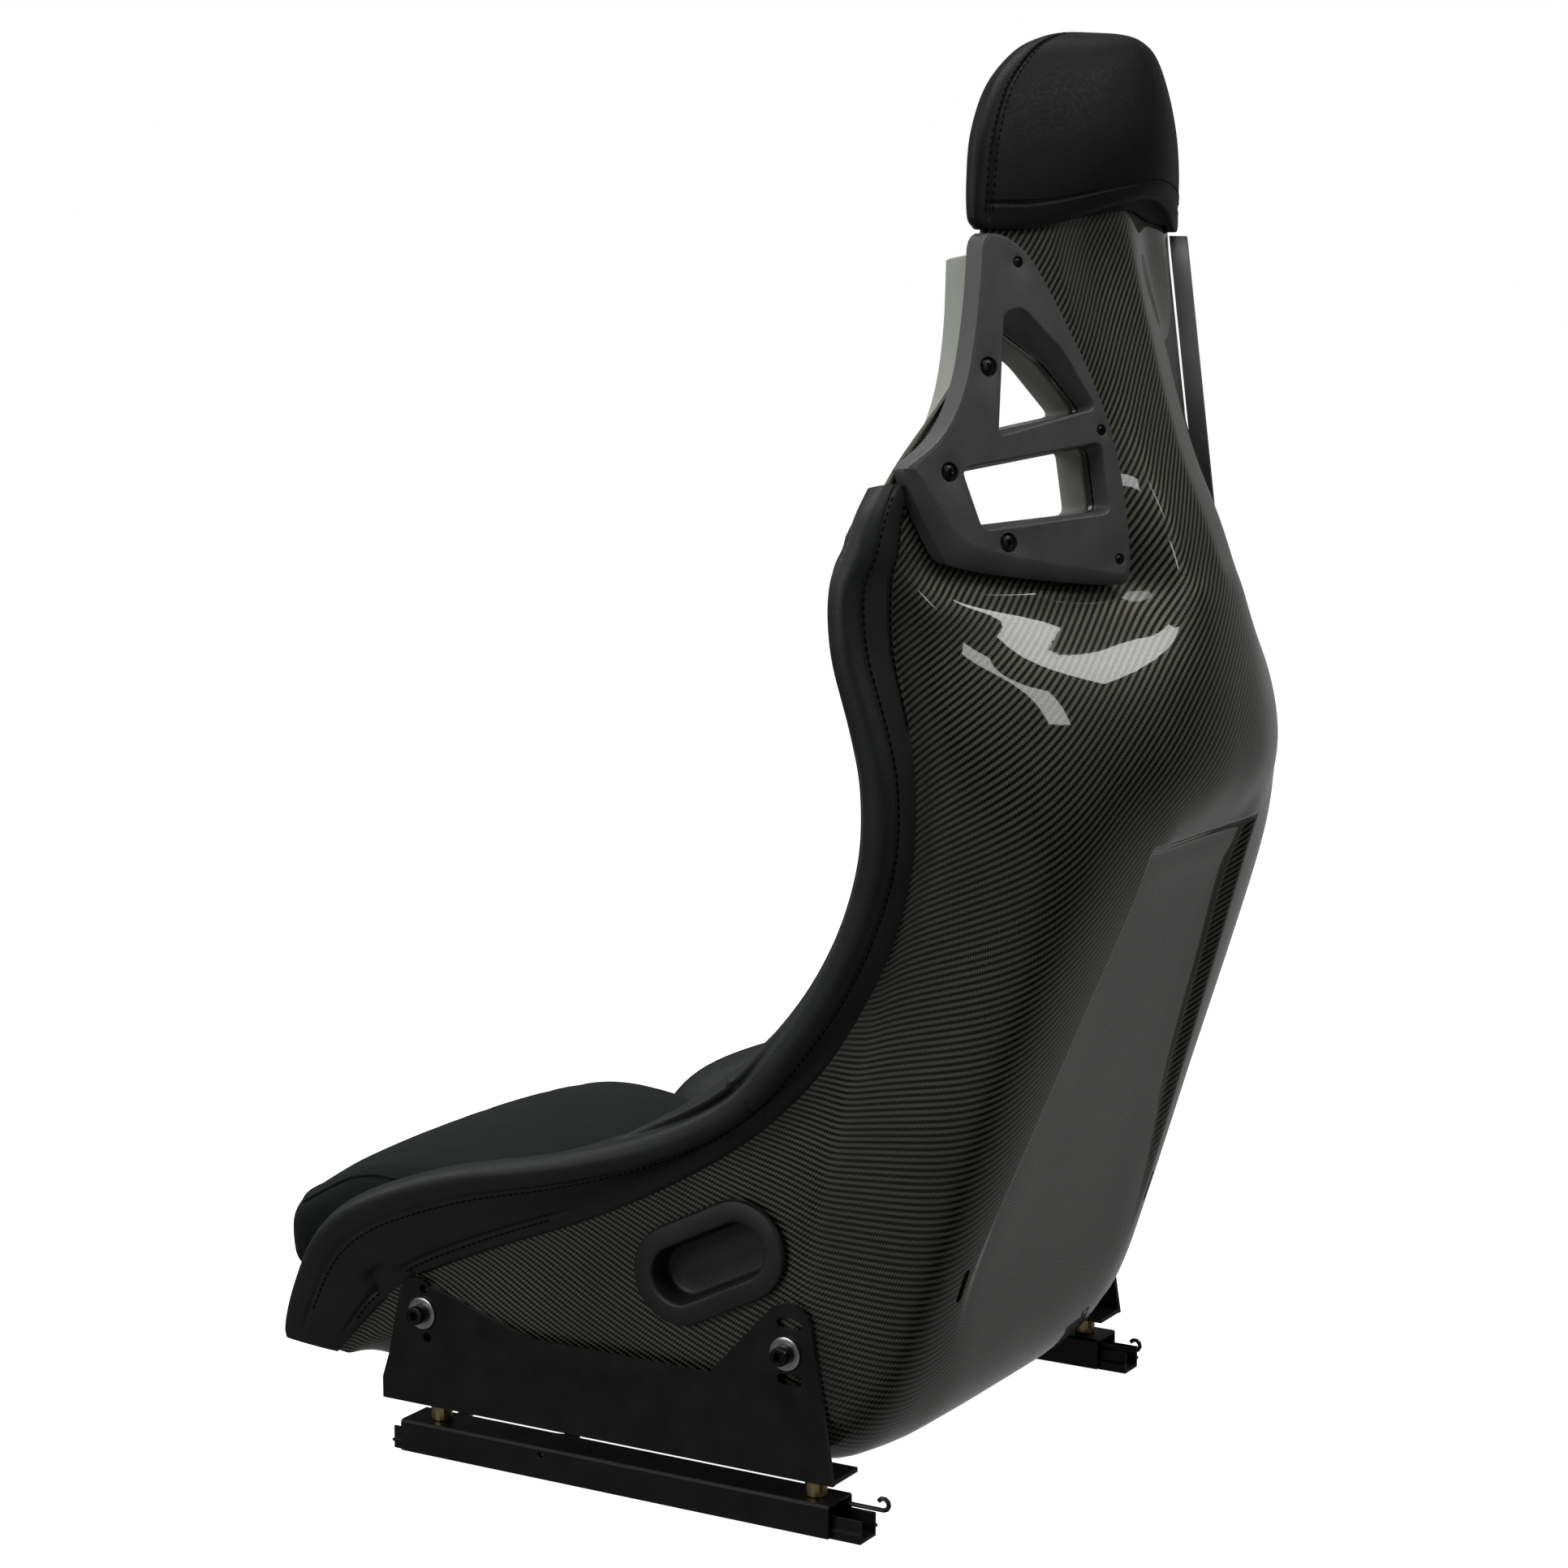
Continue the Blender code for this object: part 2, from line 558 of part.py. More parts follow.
SEAT_CUSHION_PROFILE = [
    (-0.302, 0.086), (-0.317, 0.100), (-0.3185, 0.140), (-0.299, 0.155), (-0.240, 0.184),
    (-0.150, 0.176), (-0.050, 0.145), (0.050, 0.114), (0.130, 0.098), (0.145, 0.080),
    (0.140, 0.048), (0.000, 0.044), (-0.090, 0.047), (-0.160, 0.056), (-0.212, 0.076),
]


def make_seat_cushion():
    half = 0.168
    mesh = prism("seat_cushion", SEAT_CUSHION_PROFILE, 0, -half, half)
    cushion = add_object("seat_cushion", mesh, "fabric")
    bevel = cushion.modifiers.new("round", "BEVEL")
    bevel.width = 0.012
    bevel.segments = 2
    bevel.limit_method = "ANGLE"
    bevel.angle_limit = math.radians(60)
    shade_round(cushion)


# ---------------------------------------------------------------- harness guides
COVER_FACE = [
    (0.155, 0.837), (0.142, 0.838), (0.128, 0.830), (0.117, 0.816), (0.102, 0.785), (0.086, 0.750),
    (0.074, 0.714), (0.0690, 0.670), (0.0700, 0.622), (0.076, 0.6145), (0.196, 0.632), (0.207, 0.643),
    (0.2275, 0.694), (0.2260, 0.6975), (0.199, 0.713), (0.179, 0.742), (0.1665, 0.782), (0.159, 0.815),
]
COVER_FOOT = [
    (0.1575, 0.8385), (0.142, 0.8395), (0.1285, 0.8315), (0.1185, 0.8175), (0.1050, 0.7865),
    (0.0880, 0.7515), (0.0765, 0.715), (0.0750, 0.670), (0.0755, 0.627), (0.082, 0.6215),
    (0.200, 0.6345), (0.211, 0.644), (0.2290, 0.694), (0.2280, 0.698), (0.2015, 0.7140),
    (0.1815, 0.7430), (0.1690, 0.7825), (0.1615, 0.8155),
]
SCREWS_LARGE = {"upper": (0.1610, 0.756), "outer": (0.1970, 0.6925), "lower": (0.1600, 0.6475)}
SCREWS_SMALL = [(0.1315, 0.8200), (0.0797, 0.7130), (0.0785, 0.6330)]
SCREW_SINK = 0.0030


def wing_frame(x, z, height, side):
    """Placing whose own Z leaves the harness guide's face at a point of it."""
    normal = Vector((-WING_SLOPE_X * side, 1.0, -WING_SLOPE_Z)).normalized()
    turn = normal.to_track_quat("Z", "Y").to_matrix().to_4x4()
    return Matrix.Translation(wing_point(x, z, height, side)) @ turn


def make_wing_cover(side, suffix):
    foot = [wing_point(x, z, -WING_RISE + 0.0016, side) for x, z in COVER_FOOT]
    edge = [wing_point(x, z, -0.0012, side) for x, z in COVER_FACE]
    centre = Vector((0.14, 0.70))
    face = []
    for x, z in COVER_FACE:
        inward = (centre - Vector((x, z))).normalized() * 0.0012
        face.append(wing_point(x + inward.x, z + inward.y, 0.0, side))
    cover = add_object(f"wing_cover_{suffix}", loft("wing_cover", [foot, edge, face]), "black_plastic")
    for outline in window_outlines():
        cut(cover, wing_cutter("window", outline, side, -0.03, 0.02))
    for spots, radius in ((SCREWS_LARGE.values(), 0.0062), (SCREWS_SMALL, 0.0038)):
        sink = turned("sink", [(0, 0.01), (radius, 0.01), (radius, -SCREW_SINK), (0, -SCREW_SINK)], 12)
        places = [wing_frame(x, z, 0.0, side) for x, z in spots]
        cut(cover, copies("screw_sinks", sink, places))
    shade_round(cover, 25.0)


TRIM_OUTLINE = [
    (0.1500, 0.833), (0.110, 0.800), (0.092, 0.762), (0.0770, 0.720), (0.0700, 0.650), (0.080, 0.633),
    (0.190, 0.643), (0.202, 0.655), (0.2130, 0.686), (0.1900, 0.708), (0.1700, 0.742), (0.1585, 0.782),
    (0.1530, 0.815),
]


def make_wing_trim(side, suffix):
    """Front half of the harness guide, behind the laminate as seen from the rear."""
    near = -WING_RISE - SHELL_THICK - 0.0030
    heights = (near, near - WING_TRIM_DEPTH)
    rings = [[wing_point(x, z, height, side) for x, z in TRIM_OUTLINE] for height in heights]
    trim = add_object(f"wing_trim_{suffix}", loft("wing_trim", rings), "grey_trim")
    for outline in window_outlines():
        cut(trim, wing_cutter("window", outline, side, -0.07, 0.02))
    shade_round(trim, 25.0)


def make_wing_screws(side, suffix):
    head = turned("head", [(0, 0.0026), (0.0050, 0.0026), (0.0056, 0.0018), (0.0056, 0), (0, 0)], 12)
    for spot, (x, z) in SCREWS_LARGE.items():
        place = wing_frame(x, z, -SCREW_SINK + TOUCH, side)
        add_fastener(f"wing_screw_{spot}_{suffix}", head, place, "bolt_steel")


# ---------------------------------------------------------------- belt guides
def make_belt_guide(side, suffix):
    """Oval bezel with a dished pocket that passes through the shell's side."""
    flange_in = 0.2190
    rings = []
    for length, width, x in (
        (0.086, 0.034, 0.2030), (0.091, 0.039, 0.2030), (0.091, 0.039, flange_in), (0.120, 0.068, flange_in),
        (0.120, 0.068, 0.2215), (0.116, 0.064, 0.2232), (0.092, 0.040, 0.2232), (0.084, 0.032, 0.2210),
        (0.080, 0.028, 0.2055),
    ):
        outline = stadium(BELT_GUIDE_CENTRE, length, width, BELT_GUIDE_TILT, 7)
        rings.append([(x * side, y, z) for y, z in outline])
    guide = add_object(f"belt_guide_{suffix}", loft("belt_guide", rings), "black_plastic")
    shade_round(guide)


# ---------------------------------------------------------------- side mounts
def plate_outline():
    """(y, z) outline of the side mount: a long plate with a front and a rear tab."""
    front = [(-0.176, FLANGE_Z), (-0.176, 0.053), (-0.1705, 0.070)]
    front_top = arc((-0.1460, 0.1140), 0.0145, 170, 40, 5)
    valley = [(-0.052, 0.099), (0.090, 0.099)]
    rear_top = arc((0.1500, 0.1375), 0.0180, 135, 10, 5)
    return front + front_top + valley + rear_top + [(0.184, FLANGE_Z)]


def hole_through_plate(outline, side):
    return prism("hole", outline, 0, (PLATE_X - 0.02) * side, (PLATE_X + 0.02) * side)


def make_side_mount(side, suffix):
    inner = PLATE_X - PLATE_THICK
    plate = prism("plate", plate_outline(), 0, inner * side, PLATE_X * side)
    mount = add_object(f"side_mount_{suffix}", plate, "black_steel")
    low = (0.1860, -0.1755, FLANGE_Z)
    high = (PLATE_X - 0.0010, 0.1835, FLANGE_Z + FLANGE_THICK)
    cut(mount, side_box("flange", low, high, side), "UNION")
    for y, z in (BOLT_FRONT, BOLT_REAR):
        cut(mount, hole_through_plate(arc((y, z), 0.0046, 0, 330, 11), side))
    for y, z in ((-0.1400, 0.1210), (-0.1375, 0.0870)):
        cut(mount, hole_through_plate(arc((y, z), 0.0033, 0, 324, 9), side))
    for z in (0.1420, 0.1045):
        cut(mount, hole_through_plate(stadium((0.1515, z), 0.0190, 0.0074, 0, 4), side))
    for y in SPACER_Y:
        bore = [(RAIL_X * side + a, y + b) for a, b in arc((0, 0), 0.0046, 0, 330, 11)]
        cut(mount, prism("bore", bore, 2, FLANGE_Z - 0.01, FLANGE_Z + 0.01))
    shade_round(mount, 25.0)


def make_side_fasteners(side, suffix):
    washer = turned("washer", [(0.0112, 0.0018), (0.0112, 0), (0.0044, 0), (0.0044, 0.0018)], 20)
    bolt_profile = [
        (0, 0.0040), (0.0033, 0.0040), (0.0033, 0.0080), (0.0058, 0.0080), (0.0064, 0.0074), (0.0064, 0),
        (0.0040, 0), (0.0040, -0.0200), (0, -0.0200),
    ]
    bolt = turned("bolt", bolt_profile, 12)
    insert_profile = [
        (0.0100, 0), (0.0100, -0.0020), (0.0075, -0.0020), (0.0075, -0.0090), (0.0043, -0.0090), (0.0043, 0),
    ]
    insert = turned("insert", insert_profile, 12)
    washer_x = PLATE_X + TOUCH
    bolt_x = washer_x + 0.0018 + TOUCH
    for spot, (y, z) in (("front", BOLT_FRONT), ("rear", BOLT_REAR)):
        add_fastener(f"side_washer_{spot}_{suffix}", washer, along_x(washer_x, y, z, side), "zinc")
        add_fastener(f"side_bolt_{spot}_{suffix}", bolt, along_x(bolt_x, y, z, side), "bolt_steel")
        add_fastener(f"shell_insert_{spot}_{suffix}", insert, along_x(INSERT_X, y, z, side), "zinc")


def make_rail_fasteners(side, suffix):
    height = FLANGE_Z - RAIL_TOP - 2 * TOUCH
    spacer = turned("spacer", [(0.0075, height), (0.0075, 0), (0.0044, 0), (0.0044, height)], 16)
    head_z = FLANGE_Z + FLANGE_THICK + TOUCH
    shank = head_z - RAIL_TOP + 0.0012
    bolt_profile = [
        (0, 0.0032), (0.0050, 0.0032), (0.0065, 0.0014), (0.0065, 0), (0.0040, 0), (0.0040, -shank),
        (0, -shank),
    ]
    bolt = turned("bolt", bolt_profile, 12)
    for spot, y in (("front", SPACER_Y[0]), ("rear", SPACER_Y[1])):
        add_fastener(f"rail_spacer_{spot}_{suffix}", spacer, upright(side, y, RAIL_TOP + TOUCH), "brass")
        add_fastener(f"rail_bolt_{spot}_{suffix}", bolt, upright(side, y, head_z), "brass")


# ---------------------------------------------------------------- slides
def mirrored(half):
    return half + [(-x, z) for x, z in reversed(half)]


def make_upper_rail(side, suffix):
    w = RAIL_WIDTH / 2
    inside = w - RAIL_WALL
    lip = 0.0115
    half = [
        (lip, RAIL_FOOT), (w, RAIL_FOOT), (w, RAIL_TOP - 0.0016), (w - 0.0016, RAIL_TOP),
    ]
    back = [
        (inside, RAIL_TOP - RAIL_WALL), (inside, RAIL_FOOT + RAIL_WALL), (lip, RAIL_FOOT + RAIL_WALL),
    ]
    outline = [(RAIL_X * side + x, z) for x, z in mirrored(half) + mirrored(back[::-1])[::-1]]
    mesh = prism("upper_rail", outline, 1, *UPPER_RAIL_Y)
    rail = add_object(f"upper_rail_{suffix}", mesh, "black_steel")
    for y in SPACER_Y:
        bore = [(RAIL_X * side + a, y + b) for a, b in arc((0, 0), 0.0045, 0, 330, 11)]
        cut(rail, prism("bore", bore, 2, RAIL_TOP - 0.008, RAIL_TOP + 0.004))
    pivot = arc((RELEASE_Y, RELEASE_Z), 0.0023, 0, 324, 9)
    cut(rail, prism("pivot", pivot, 0, (RAIL_X - 0.03) * side, (RAIL_X + 0.03) * side))
    shade_round(rail, 25.0)


BALL_R = 0.0015
BALL_PITCH = 0.060
NOTCH_PITCH = 0.0120
NOTCH_COUNT = 15
NOTCH_START = -0.158


def make_lower_rail(side, suffix):
    half = [
        (0.0105, 0), (0.0105, 0.0055), (0.0128, 0.0055), (0.0128, 0.0075), (0.0105, 0.0075),
        (0.0105, 0.0160), (0.0083, 0.0160), (0.0083, 0.0025),
    ]
    outline = [(RAIL_X * side + x, z) for x, z in mirrored(half)]
    mesh = prism("lower_rail", outline, 1, *LOWER_RAIL_Y)
    rail = add_object(f"lower_rail_{suffix}", mesh, "black_steel")
    notches = []
    for i in range(NOTCH_COUNT):
        y = NOTCH_START + i * NOTCH_PITCH
        notches.append(Matrix.Translation((RAIL_X * side, y, 0)))
    notch = box("notch", (-0.0045, -0.0025, -0.004), (0.0045, 0.0025, 0.006))
    cut(rail, copies("notches", notch, notches))
    fixing = turned("fixing", [(0, 0.006), (0.0045, 0.006), (0.0045, -0.004), (0, -0.004)], 12)
    ends = [Matrix.Translation((RAIL_X * side, y, 0)) for y in (0.045, LOWER_RAIL_Y[1] - 0.016)]
    cut(rail, copies("floor_fixings", fixing, ends))
    shade_round(rail, 25.0)


def make_ball_cage(side, suffix):
    """Two strips of balls that roll between the rails' walls, joined by a bridge at the rear."""
    middle = RAIL_WIDTH / 2 - RAIL_WALL - 0.00165
    half = 0.0007
    centre = RAIL_X * side
    strip = box("strip", (-half, -0.095, 0.0095), (half, 0.115, 0.0150))
    strips = [Matrix.Translation((centre + s * middle, 0, 0)) for s in (1, -1)]
    cage = add_object(f"ball_cage_{suffix}", copies("cage", strip, strips), "spring_steel")
    outside = [(middle + half, 0.0140), (middle + half, 0.0174)]
    inside = [(middle - half, 0.0166), (middle - half, 0.0140)]
    bridge = [(centre + x, z) for x, z in mirrored(outside) + mirrored(inside[::-1])[::-1]]
    cut(cage, prism("bridge", bridge, 1, 0.100, 0.1145), "UNION")
    work = bmesh.new()
    bmesh.ops.create_uvsphere(work, u_segments=6, v_segments=4, radius=BALL_R)
    ball = bpy.data.meshes.new("ball")
    work.to_mesh(ball)
    work.free()
    rows = [BALL_PITCH * i + 0.010 for i in (-1.5, -0.5, 0.5, 1.5)]
    spots = [Matrix.Translation((centre + s * middle, y, 0.012)) for s in (1, -1) for y in rows]
    cut(cage, copies("balls", ball, spots), "UNION")


def make_rail_clip(side, suffix):
    """Curled wire clip at the rear end of the upper rail."""
    x = (RAIL_X - 0.0085) * side
    curl = [(y, z) for y, z in arc((0.2075, 0.0228), 0.0040, -90, 150, 6)]
    path = [(x, UPPER_RAIL_Y[1] + TOUCH, 0.0188), (x, 0.198, 0.0188)] + [(x, y, z) for y, z in curl]
    clip = add_object(f"rail_clip_{suffix}", tube_mesh("rail_clip", path, 0.0016), "black_steel")
    shade_round(clip)


# ---------------------------------------------------------------- lock and release
def make_release_bar():
    bend = 0.018
    corner = (RELEASE_ARM_X - bend, RELEASE_BAR_Y + bend)
    half = [(RELEASE_ARM_X, RELEASE_Y, RELEASE_Z), (RELEASE_ARM_X, RELEASE_BAR_Y + 0.05, 0.0125)]
    half += [(x, y, 0.0120) for x, y in arc(corner, bend, 0, -90, 5)]
    path = half + [(-x, y, z) for x, y, z in reversed(half)]
    bar = add_object("release_bar", tube_mesh("release_bar", path, RELEASE_BAR_R), "black_steel")
    boss = turned("boss", [(0, 0.0036), (0.0055, 0.0036), (0.0055, -0.0036), (0, -0.0036)], 14)
    places = [along_x(RELEASE_ARM_X, RELEASE_Y, RELEASE_Z, side) for side in (1, -1)]
    cut(bar, copies("bosses", boss, places), "UNION")
    shade_round(bar)
    length = 0.070
    inner = RELEASE_BAR_R + 0.0005
    grip_profile = [
        (0.0060, length), (0.0064, length - 0.003), (0.0064, 0.003 - length), (0.0060, -length),
        (inner, -length), (inner, length),
    ]
    grip = turned("grip", grip_profile, 16)
    place = along_x(0, RELEASE_BAR_Y, 0.0120, 1)
    shade_round(add_object("release_grip", copies("release_grip", grip, [place]), "black_plastic"))


def make_lock(side, suffix):
    """Toothed pawl on the release shaft, inside the slide, and the leaf spring above it."""
    x = RAIL_X * side
    teeth = []
    for i in range(3):
        y = NOTCH_START + (5 + i) * NOTCH_PITCH
        teeth += [(y - 0.0018, 0.0080), (y - 0.0014, 0.0029), (y + 0.0014, 0.0029), (y + 0.0018, 0.0080)]
    outline = teeth + [
        (RELEASE_Y + 0.002, 0.0130), (RELEASE_Y + 0.0038, 0.0165), (RELEASE_Y + 0.0034, 0.0205),
        (RELEASE_Y - 0.0034, 0.0208), (RELEASE_Y - 0.012, 0.0150), (teeth[0][0], 0.0130),
    ]
    mesh = prism("pawl", outline, 0, x - 0.0035, x + 0.0035)
    pawl = add_object(f"lock_pawl_{suffix}", mesh, "spring_steel")
    cut(pawl, prism("bore", arc((RELEASE_Y, RELEASE_Z), 0.0021, 0, 324, 9), 0, x - 0.01, x + 0.01))
    shaft = turned("shaft", [(0, 0.0305), (0.0017, 0.0305), (0.0017, 0), (0, 0)], 10)
    place = along_x(RELEASE_ARM_X + 0.0036 + TOUCH, RELEASE_Y, RELEASE_Z, side)
    shade_round(add_object(f"release_shaft_{suffix}", copies("shaft", shaft, [place]), "spring_steel"))
    leaf = box("leaf", (x - 0.003, -0.125, 0.0209), (x + 0.003, -0.060, 0.0214))
    add_object(f"lock_spring_{suffix}", leaf, "spring_steel")


# ---------------------------------------------------------------- build
def build():
    make_shell()
    make_headrest()
    make_pads()
    make_seat_cushion()
    make_release_bar()
    for side, suffix in ((1, "left"), (-1, "right")):
        make_bolster(side, suffix)
        make_wing_cover(side, suffix)
        make_wing_trim(side, suffix)
        make_wing_screws(side, suffix)
        make_belt_guide(side, suffix)
        make_side_mount(side, suffix)
        make_side_fasteners(side, suffix)
        make_rail_fasteners(side, suffix)
        make_upper_rail(side, suffix)
        make_lower_rail(side, suffix)
        make_ball_cage(side, suffix)
        make_rail_clip(side, suffix)
        make_lock(side, suffix)


clear_scene()
MATERIALS = make_materials()
ROOT = bpy.data.objects.new("seat_origin", None)
ROOT.location = (0.0, -DATUM_Y, 0.0)
bpy.data.collections[COLLECTION].objects.link(ROOT)
build()
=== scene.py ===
"""Looks of the bucket racing seat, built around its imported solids.

Metres, +Z up. The seat faces -Y and +X is the sitter's left. Lengths along Y are measured from the datum of the
side mounts, and every mesh is moved by the datum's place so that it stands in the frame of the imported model.
"""

import math

import bmesh
import bpy
import numpy as np
from mathutils import Matrix, Vector
from mathutils.bvhtree import BVHTree
from mathutils.geometry import delaunay_2d_cdt


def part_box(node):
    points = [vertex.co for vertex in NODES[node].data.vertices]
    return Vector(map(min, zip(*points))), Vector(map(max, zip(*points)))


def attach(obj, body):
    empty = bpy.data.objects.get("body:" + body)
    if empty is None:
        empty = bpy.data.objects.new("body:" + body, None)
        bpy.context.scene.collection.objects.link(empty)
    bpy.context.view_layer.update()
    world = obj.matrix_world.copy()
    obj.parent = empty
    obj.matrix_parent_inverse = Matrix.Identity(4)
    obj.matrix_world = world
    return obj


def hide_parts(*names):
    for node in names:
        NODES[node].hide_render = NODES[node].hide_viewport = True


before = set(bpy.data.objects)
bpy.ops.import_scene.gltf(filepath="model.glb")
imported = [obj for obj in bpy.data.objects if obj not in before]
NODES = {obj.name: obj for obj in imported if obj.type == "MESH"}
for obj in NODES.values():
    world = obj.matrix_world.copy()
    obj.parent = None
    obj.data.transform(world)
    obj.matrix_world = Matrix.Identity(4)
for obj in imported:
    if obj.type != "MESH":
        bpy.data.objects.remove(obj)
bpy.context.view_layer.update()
SIDES = ((1, "left"), (-1, "right"))


def metres(rows):
    """Rows of millimetres in metres."""
    return [tuple(value / 1000 for value in row) for row in rows]


# ---------------------------------------------------------------- driving dimensions
PLATE_REAR = 0.184              # rear edge of a side mount, measured from the datum
DATUM_Y = PLATE_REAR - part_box("side_mount_left")[1].y
SHELL_THICK = 0.0036            # carbon laminate
PAD_GAP = 0.0008                # gap between the laminate and a pad on it
BOLSTER_PAD = 0.0200            # padding over the laminate's inner face
LEATHER_GAP = 0.0006            # gap between the leather and the laminate inside it
TOW = 0.00136                   # width of a tow of the twill
PLATE_X = 0.2200                # outer face of a side mount
BOLT_FRONT = (-0.141, 0.104)    # (y, z) of the side mounts' bolts
BOLT_REAR = (0.149, 0.122)
WING_BASE_Y = 0.4295            # harness guide face: y = base + slope_x * |x| + slope_z * z
WING_SLOPE_X = -0.4428
WING_SLOPE_Z = -0.1300
WING_RISE = 0.0140              # height of the harness guide's cover over the laminate
WING_TRIM_DEPTH = 0.0250        # depth of the harness guide's front half
SCREW_SINK = 0.0030             # how far the harness guide's screws are sunk
BELT_GUIDE_CENTRE = (0.091, 0.174)
BELT_GUIDE_TILT = 26.6

# Sections of the shell's outer face, from the front lip of the pan, round the tub, up the back and into the
# headrest. Each has seven points from the centre to the rim: centre, spine edge, panel edge, flank, side,
# leather seam and rim.
SHELL_SECTIONS = [metres(section) for section in [
    [(0, -205, 62), (70, -205, 62), (130, -206, 60), (178, -207, 60), (211, -209, 62),
     (216, -217, 64), (236, -243, 74.5)],
    [(0, -165, 45), (70, -165, 45), (130, -166, 45), (180, -167, 49), (214, -166, 83),
     (215.5, -160, 120), (240, -203, 157)],
    [(0, -90, 36), (70, -90, 36), (130, -90, 36), (181, -90, 44), (214.8, -90, 95), (216.2, -86, 157),
     (243, -112, 201)],
    [(0, 0, 32), (70, 0, 32), (130, 0, 32), (182, 0, 42), (215, 0, 104), (217.5, 0, 193), (245, -16, 224)],
    [(0, 97, 31), (70, 97, 31), (130, 97, 31), (183, 96, 42), (215, 92, 106), (218, 72, 232), (246, 68, 250)],
    [(0, 167, 33), (70, 167, 33), (130, 167, 34), (186, 162, 47), (215, 148, 112), (218.8, 125, 268),
     (247, 131, 284)],
    [(0, 214, 72), (70, 214, 73), (130, 211, 77), (182, 199, 94), (214, 166, 172), (219.5, 168, 306),
     (248, 170, 328)],
    [(0, 236, 155), (70, 237, 155), (140, 238, 156), (182, 223, 170), (213, 182, 236),
     (220, 198, 345), (249, 198, 366)],
    [(0, 265, 250), (60, 266, 250), (121, 272, 250), (174, 257, 262), (210.5, 210, 308),
     (220.3, 223, 392), (250, 221, 410)],
    [(0, 297, 342), (55, 298, 342), (102, 305, 342), (166, 291, 352), (209, 240, 386),
     (221, 238, 446), (252, 237, 458)],
    [(0, 330, 430), (45, 331, 430), (84, 337, 432), (155, 321, 440), (209, 266, 456),
     (222.5, 242, 496), (254, 239, 504)],
    [(0, 367, 490), (45, 365, 490), (95, 352, 493), (156, 319, 498), (210, 266, 510),
     (224.5, 238, 538), (258, 232, 542)],
    [(0, 365, 550), (45, 361, 550), (95, 342, 553), (154, 303, 560), (210, 254, 568), (228, 229, 584),
     (262, 221, 584)],
    [(0, 356, 597), (44, 349, 597), (80, 322, 596), (136, 289, 597), (198.5, 255.5, 605),
     (229.5, 229, 626), (261, 218, 622)],
    [(0, 349, 621), (43, 341, 620), (69, 303, 619), (132, 275.3, 618), (190, 248.6, 625),
     (226, 230.5, 644), (254, 224, 645)],
    [(0, 338, 650), (41, 331, 650), (69, 299, 650), (128, 272.9, 650), (182, 248.5, 654),
     (220, 230, 667), (243, 226, 670)],
    [(0, 317, 700), (41, 309, 700), (68, 293, 700), (118, 270.8, 700), (168, 248.7, 700),
     (202, 233.7, 700), (216, 227.5, 699)],
    [(0, 299, 760), (42, 290, 760), (75, 282.1, 760), (98, 271.9, 760), (126, 259.5, 760),
     (149, 249.3, 760), (160, 244.5, 760)],
    [(0, 283, 822), (45, 272, 820), (83, 269.7, 817), (104, 262, 816), (123, 253.5, 816),
     (138, 246.9, 816), (147, 242.9, 816)],
    [(0, 275, 862), (48, 267, 858), (83, 262.5, 851), (105, 257.5, 846), (120, 251.5, 843),
     (130, 247.5, 842), (138, 244.5, 842)],
    [(0, 273, 900), (40, 268, 899), (68, 263, 895), (86, 259, 893), (100, 255, 891), (109, 252, 889),
     (116, 250, 888)],
    [(0, 263, 938), (28, 261, 937), (50, 257, 934), (63, 254, 931), (73, 251, 928), (79, 249, 924),
     (83, 247, 921)],
]]
RIM = len(SHELL_SECTIONS[0]) - 1        # column of the rim
SEAM = RIM - 1                          # column where the leather begins
SHOULDER = 15.6                         # row where the leather ends, at the harness guide's corner
TOP = len(SHELL_SECTIONS) - 1


# ---------------------------------------------------------------- materials
class Nodes:
    """Shorthand for the nodes of a tree."""

    def __init__(self, tree):
        self.tree = tree

    def feed(self, socket, value):
        if isinstance(value, bpy.types.NodeSocket):
            self.tree.links.new(value, socket)
        else:
            socket.default_value = value

    def add(self, kind, inputs=None, **settings):
        node = self.tree.nodes.new("ShaderNode" + kind)
        for key, value in settings.items():
            setattr(node, key, value)
        for key, value in (inputs or {}).items():
            self.feed(node.inputs[key], value)
        return node

    def math(self, operation, a, b=0.0):
        return self.add("Math", {0: a, 1: b}, operation=operation).outputs[0]

    def span(self, value, low, high, to_low, to_high, **settings):
        inputs = {0: value, 1: low, 2: high, 3: to_low, 4: to_high}
        return self.add("MapRange", inputs, **settings).outputs[0]


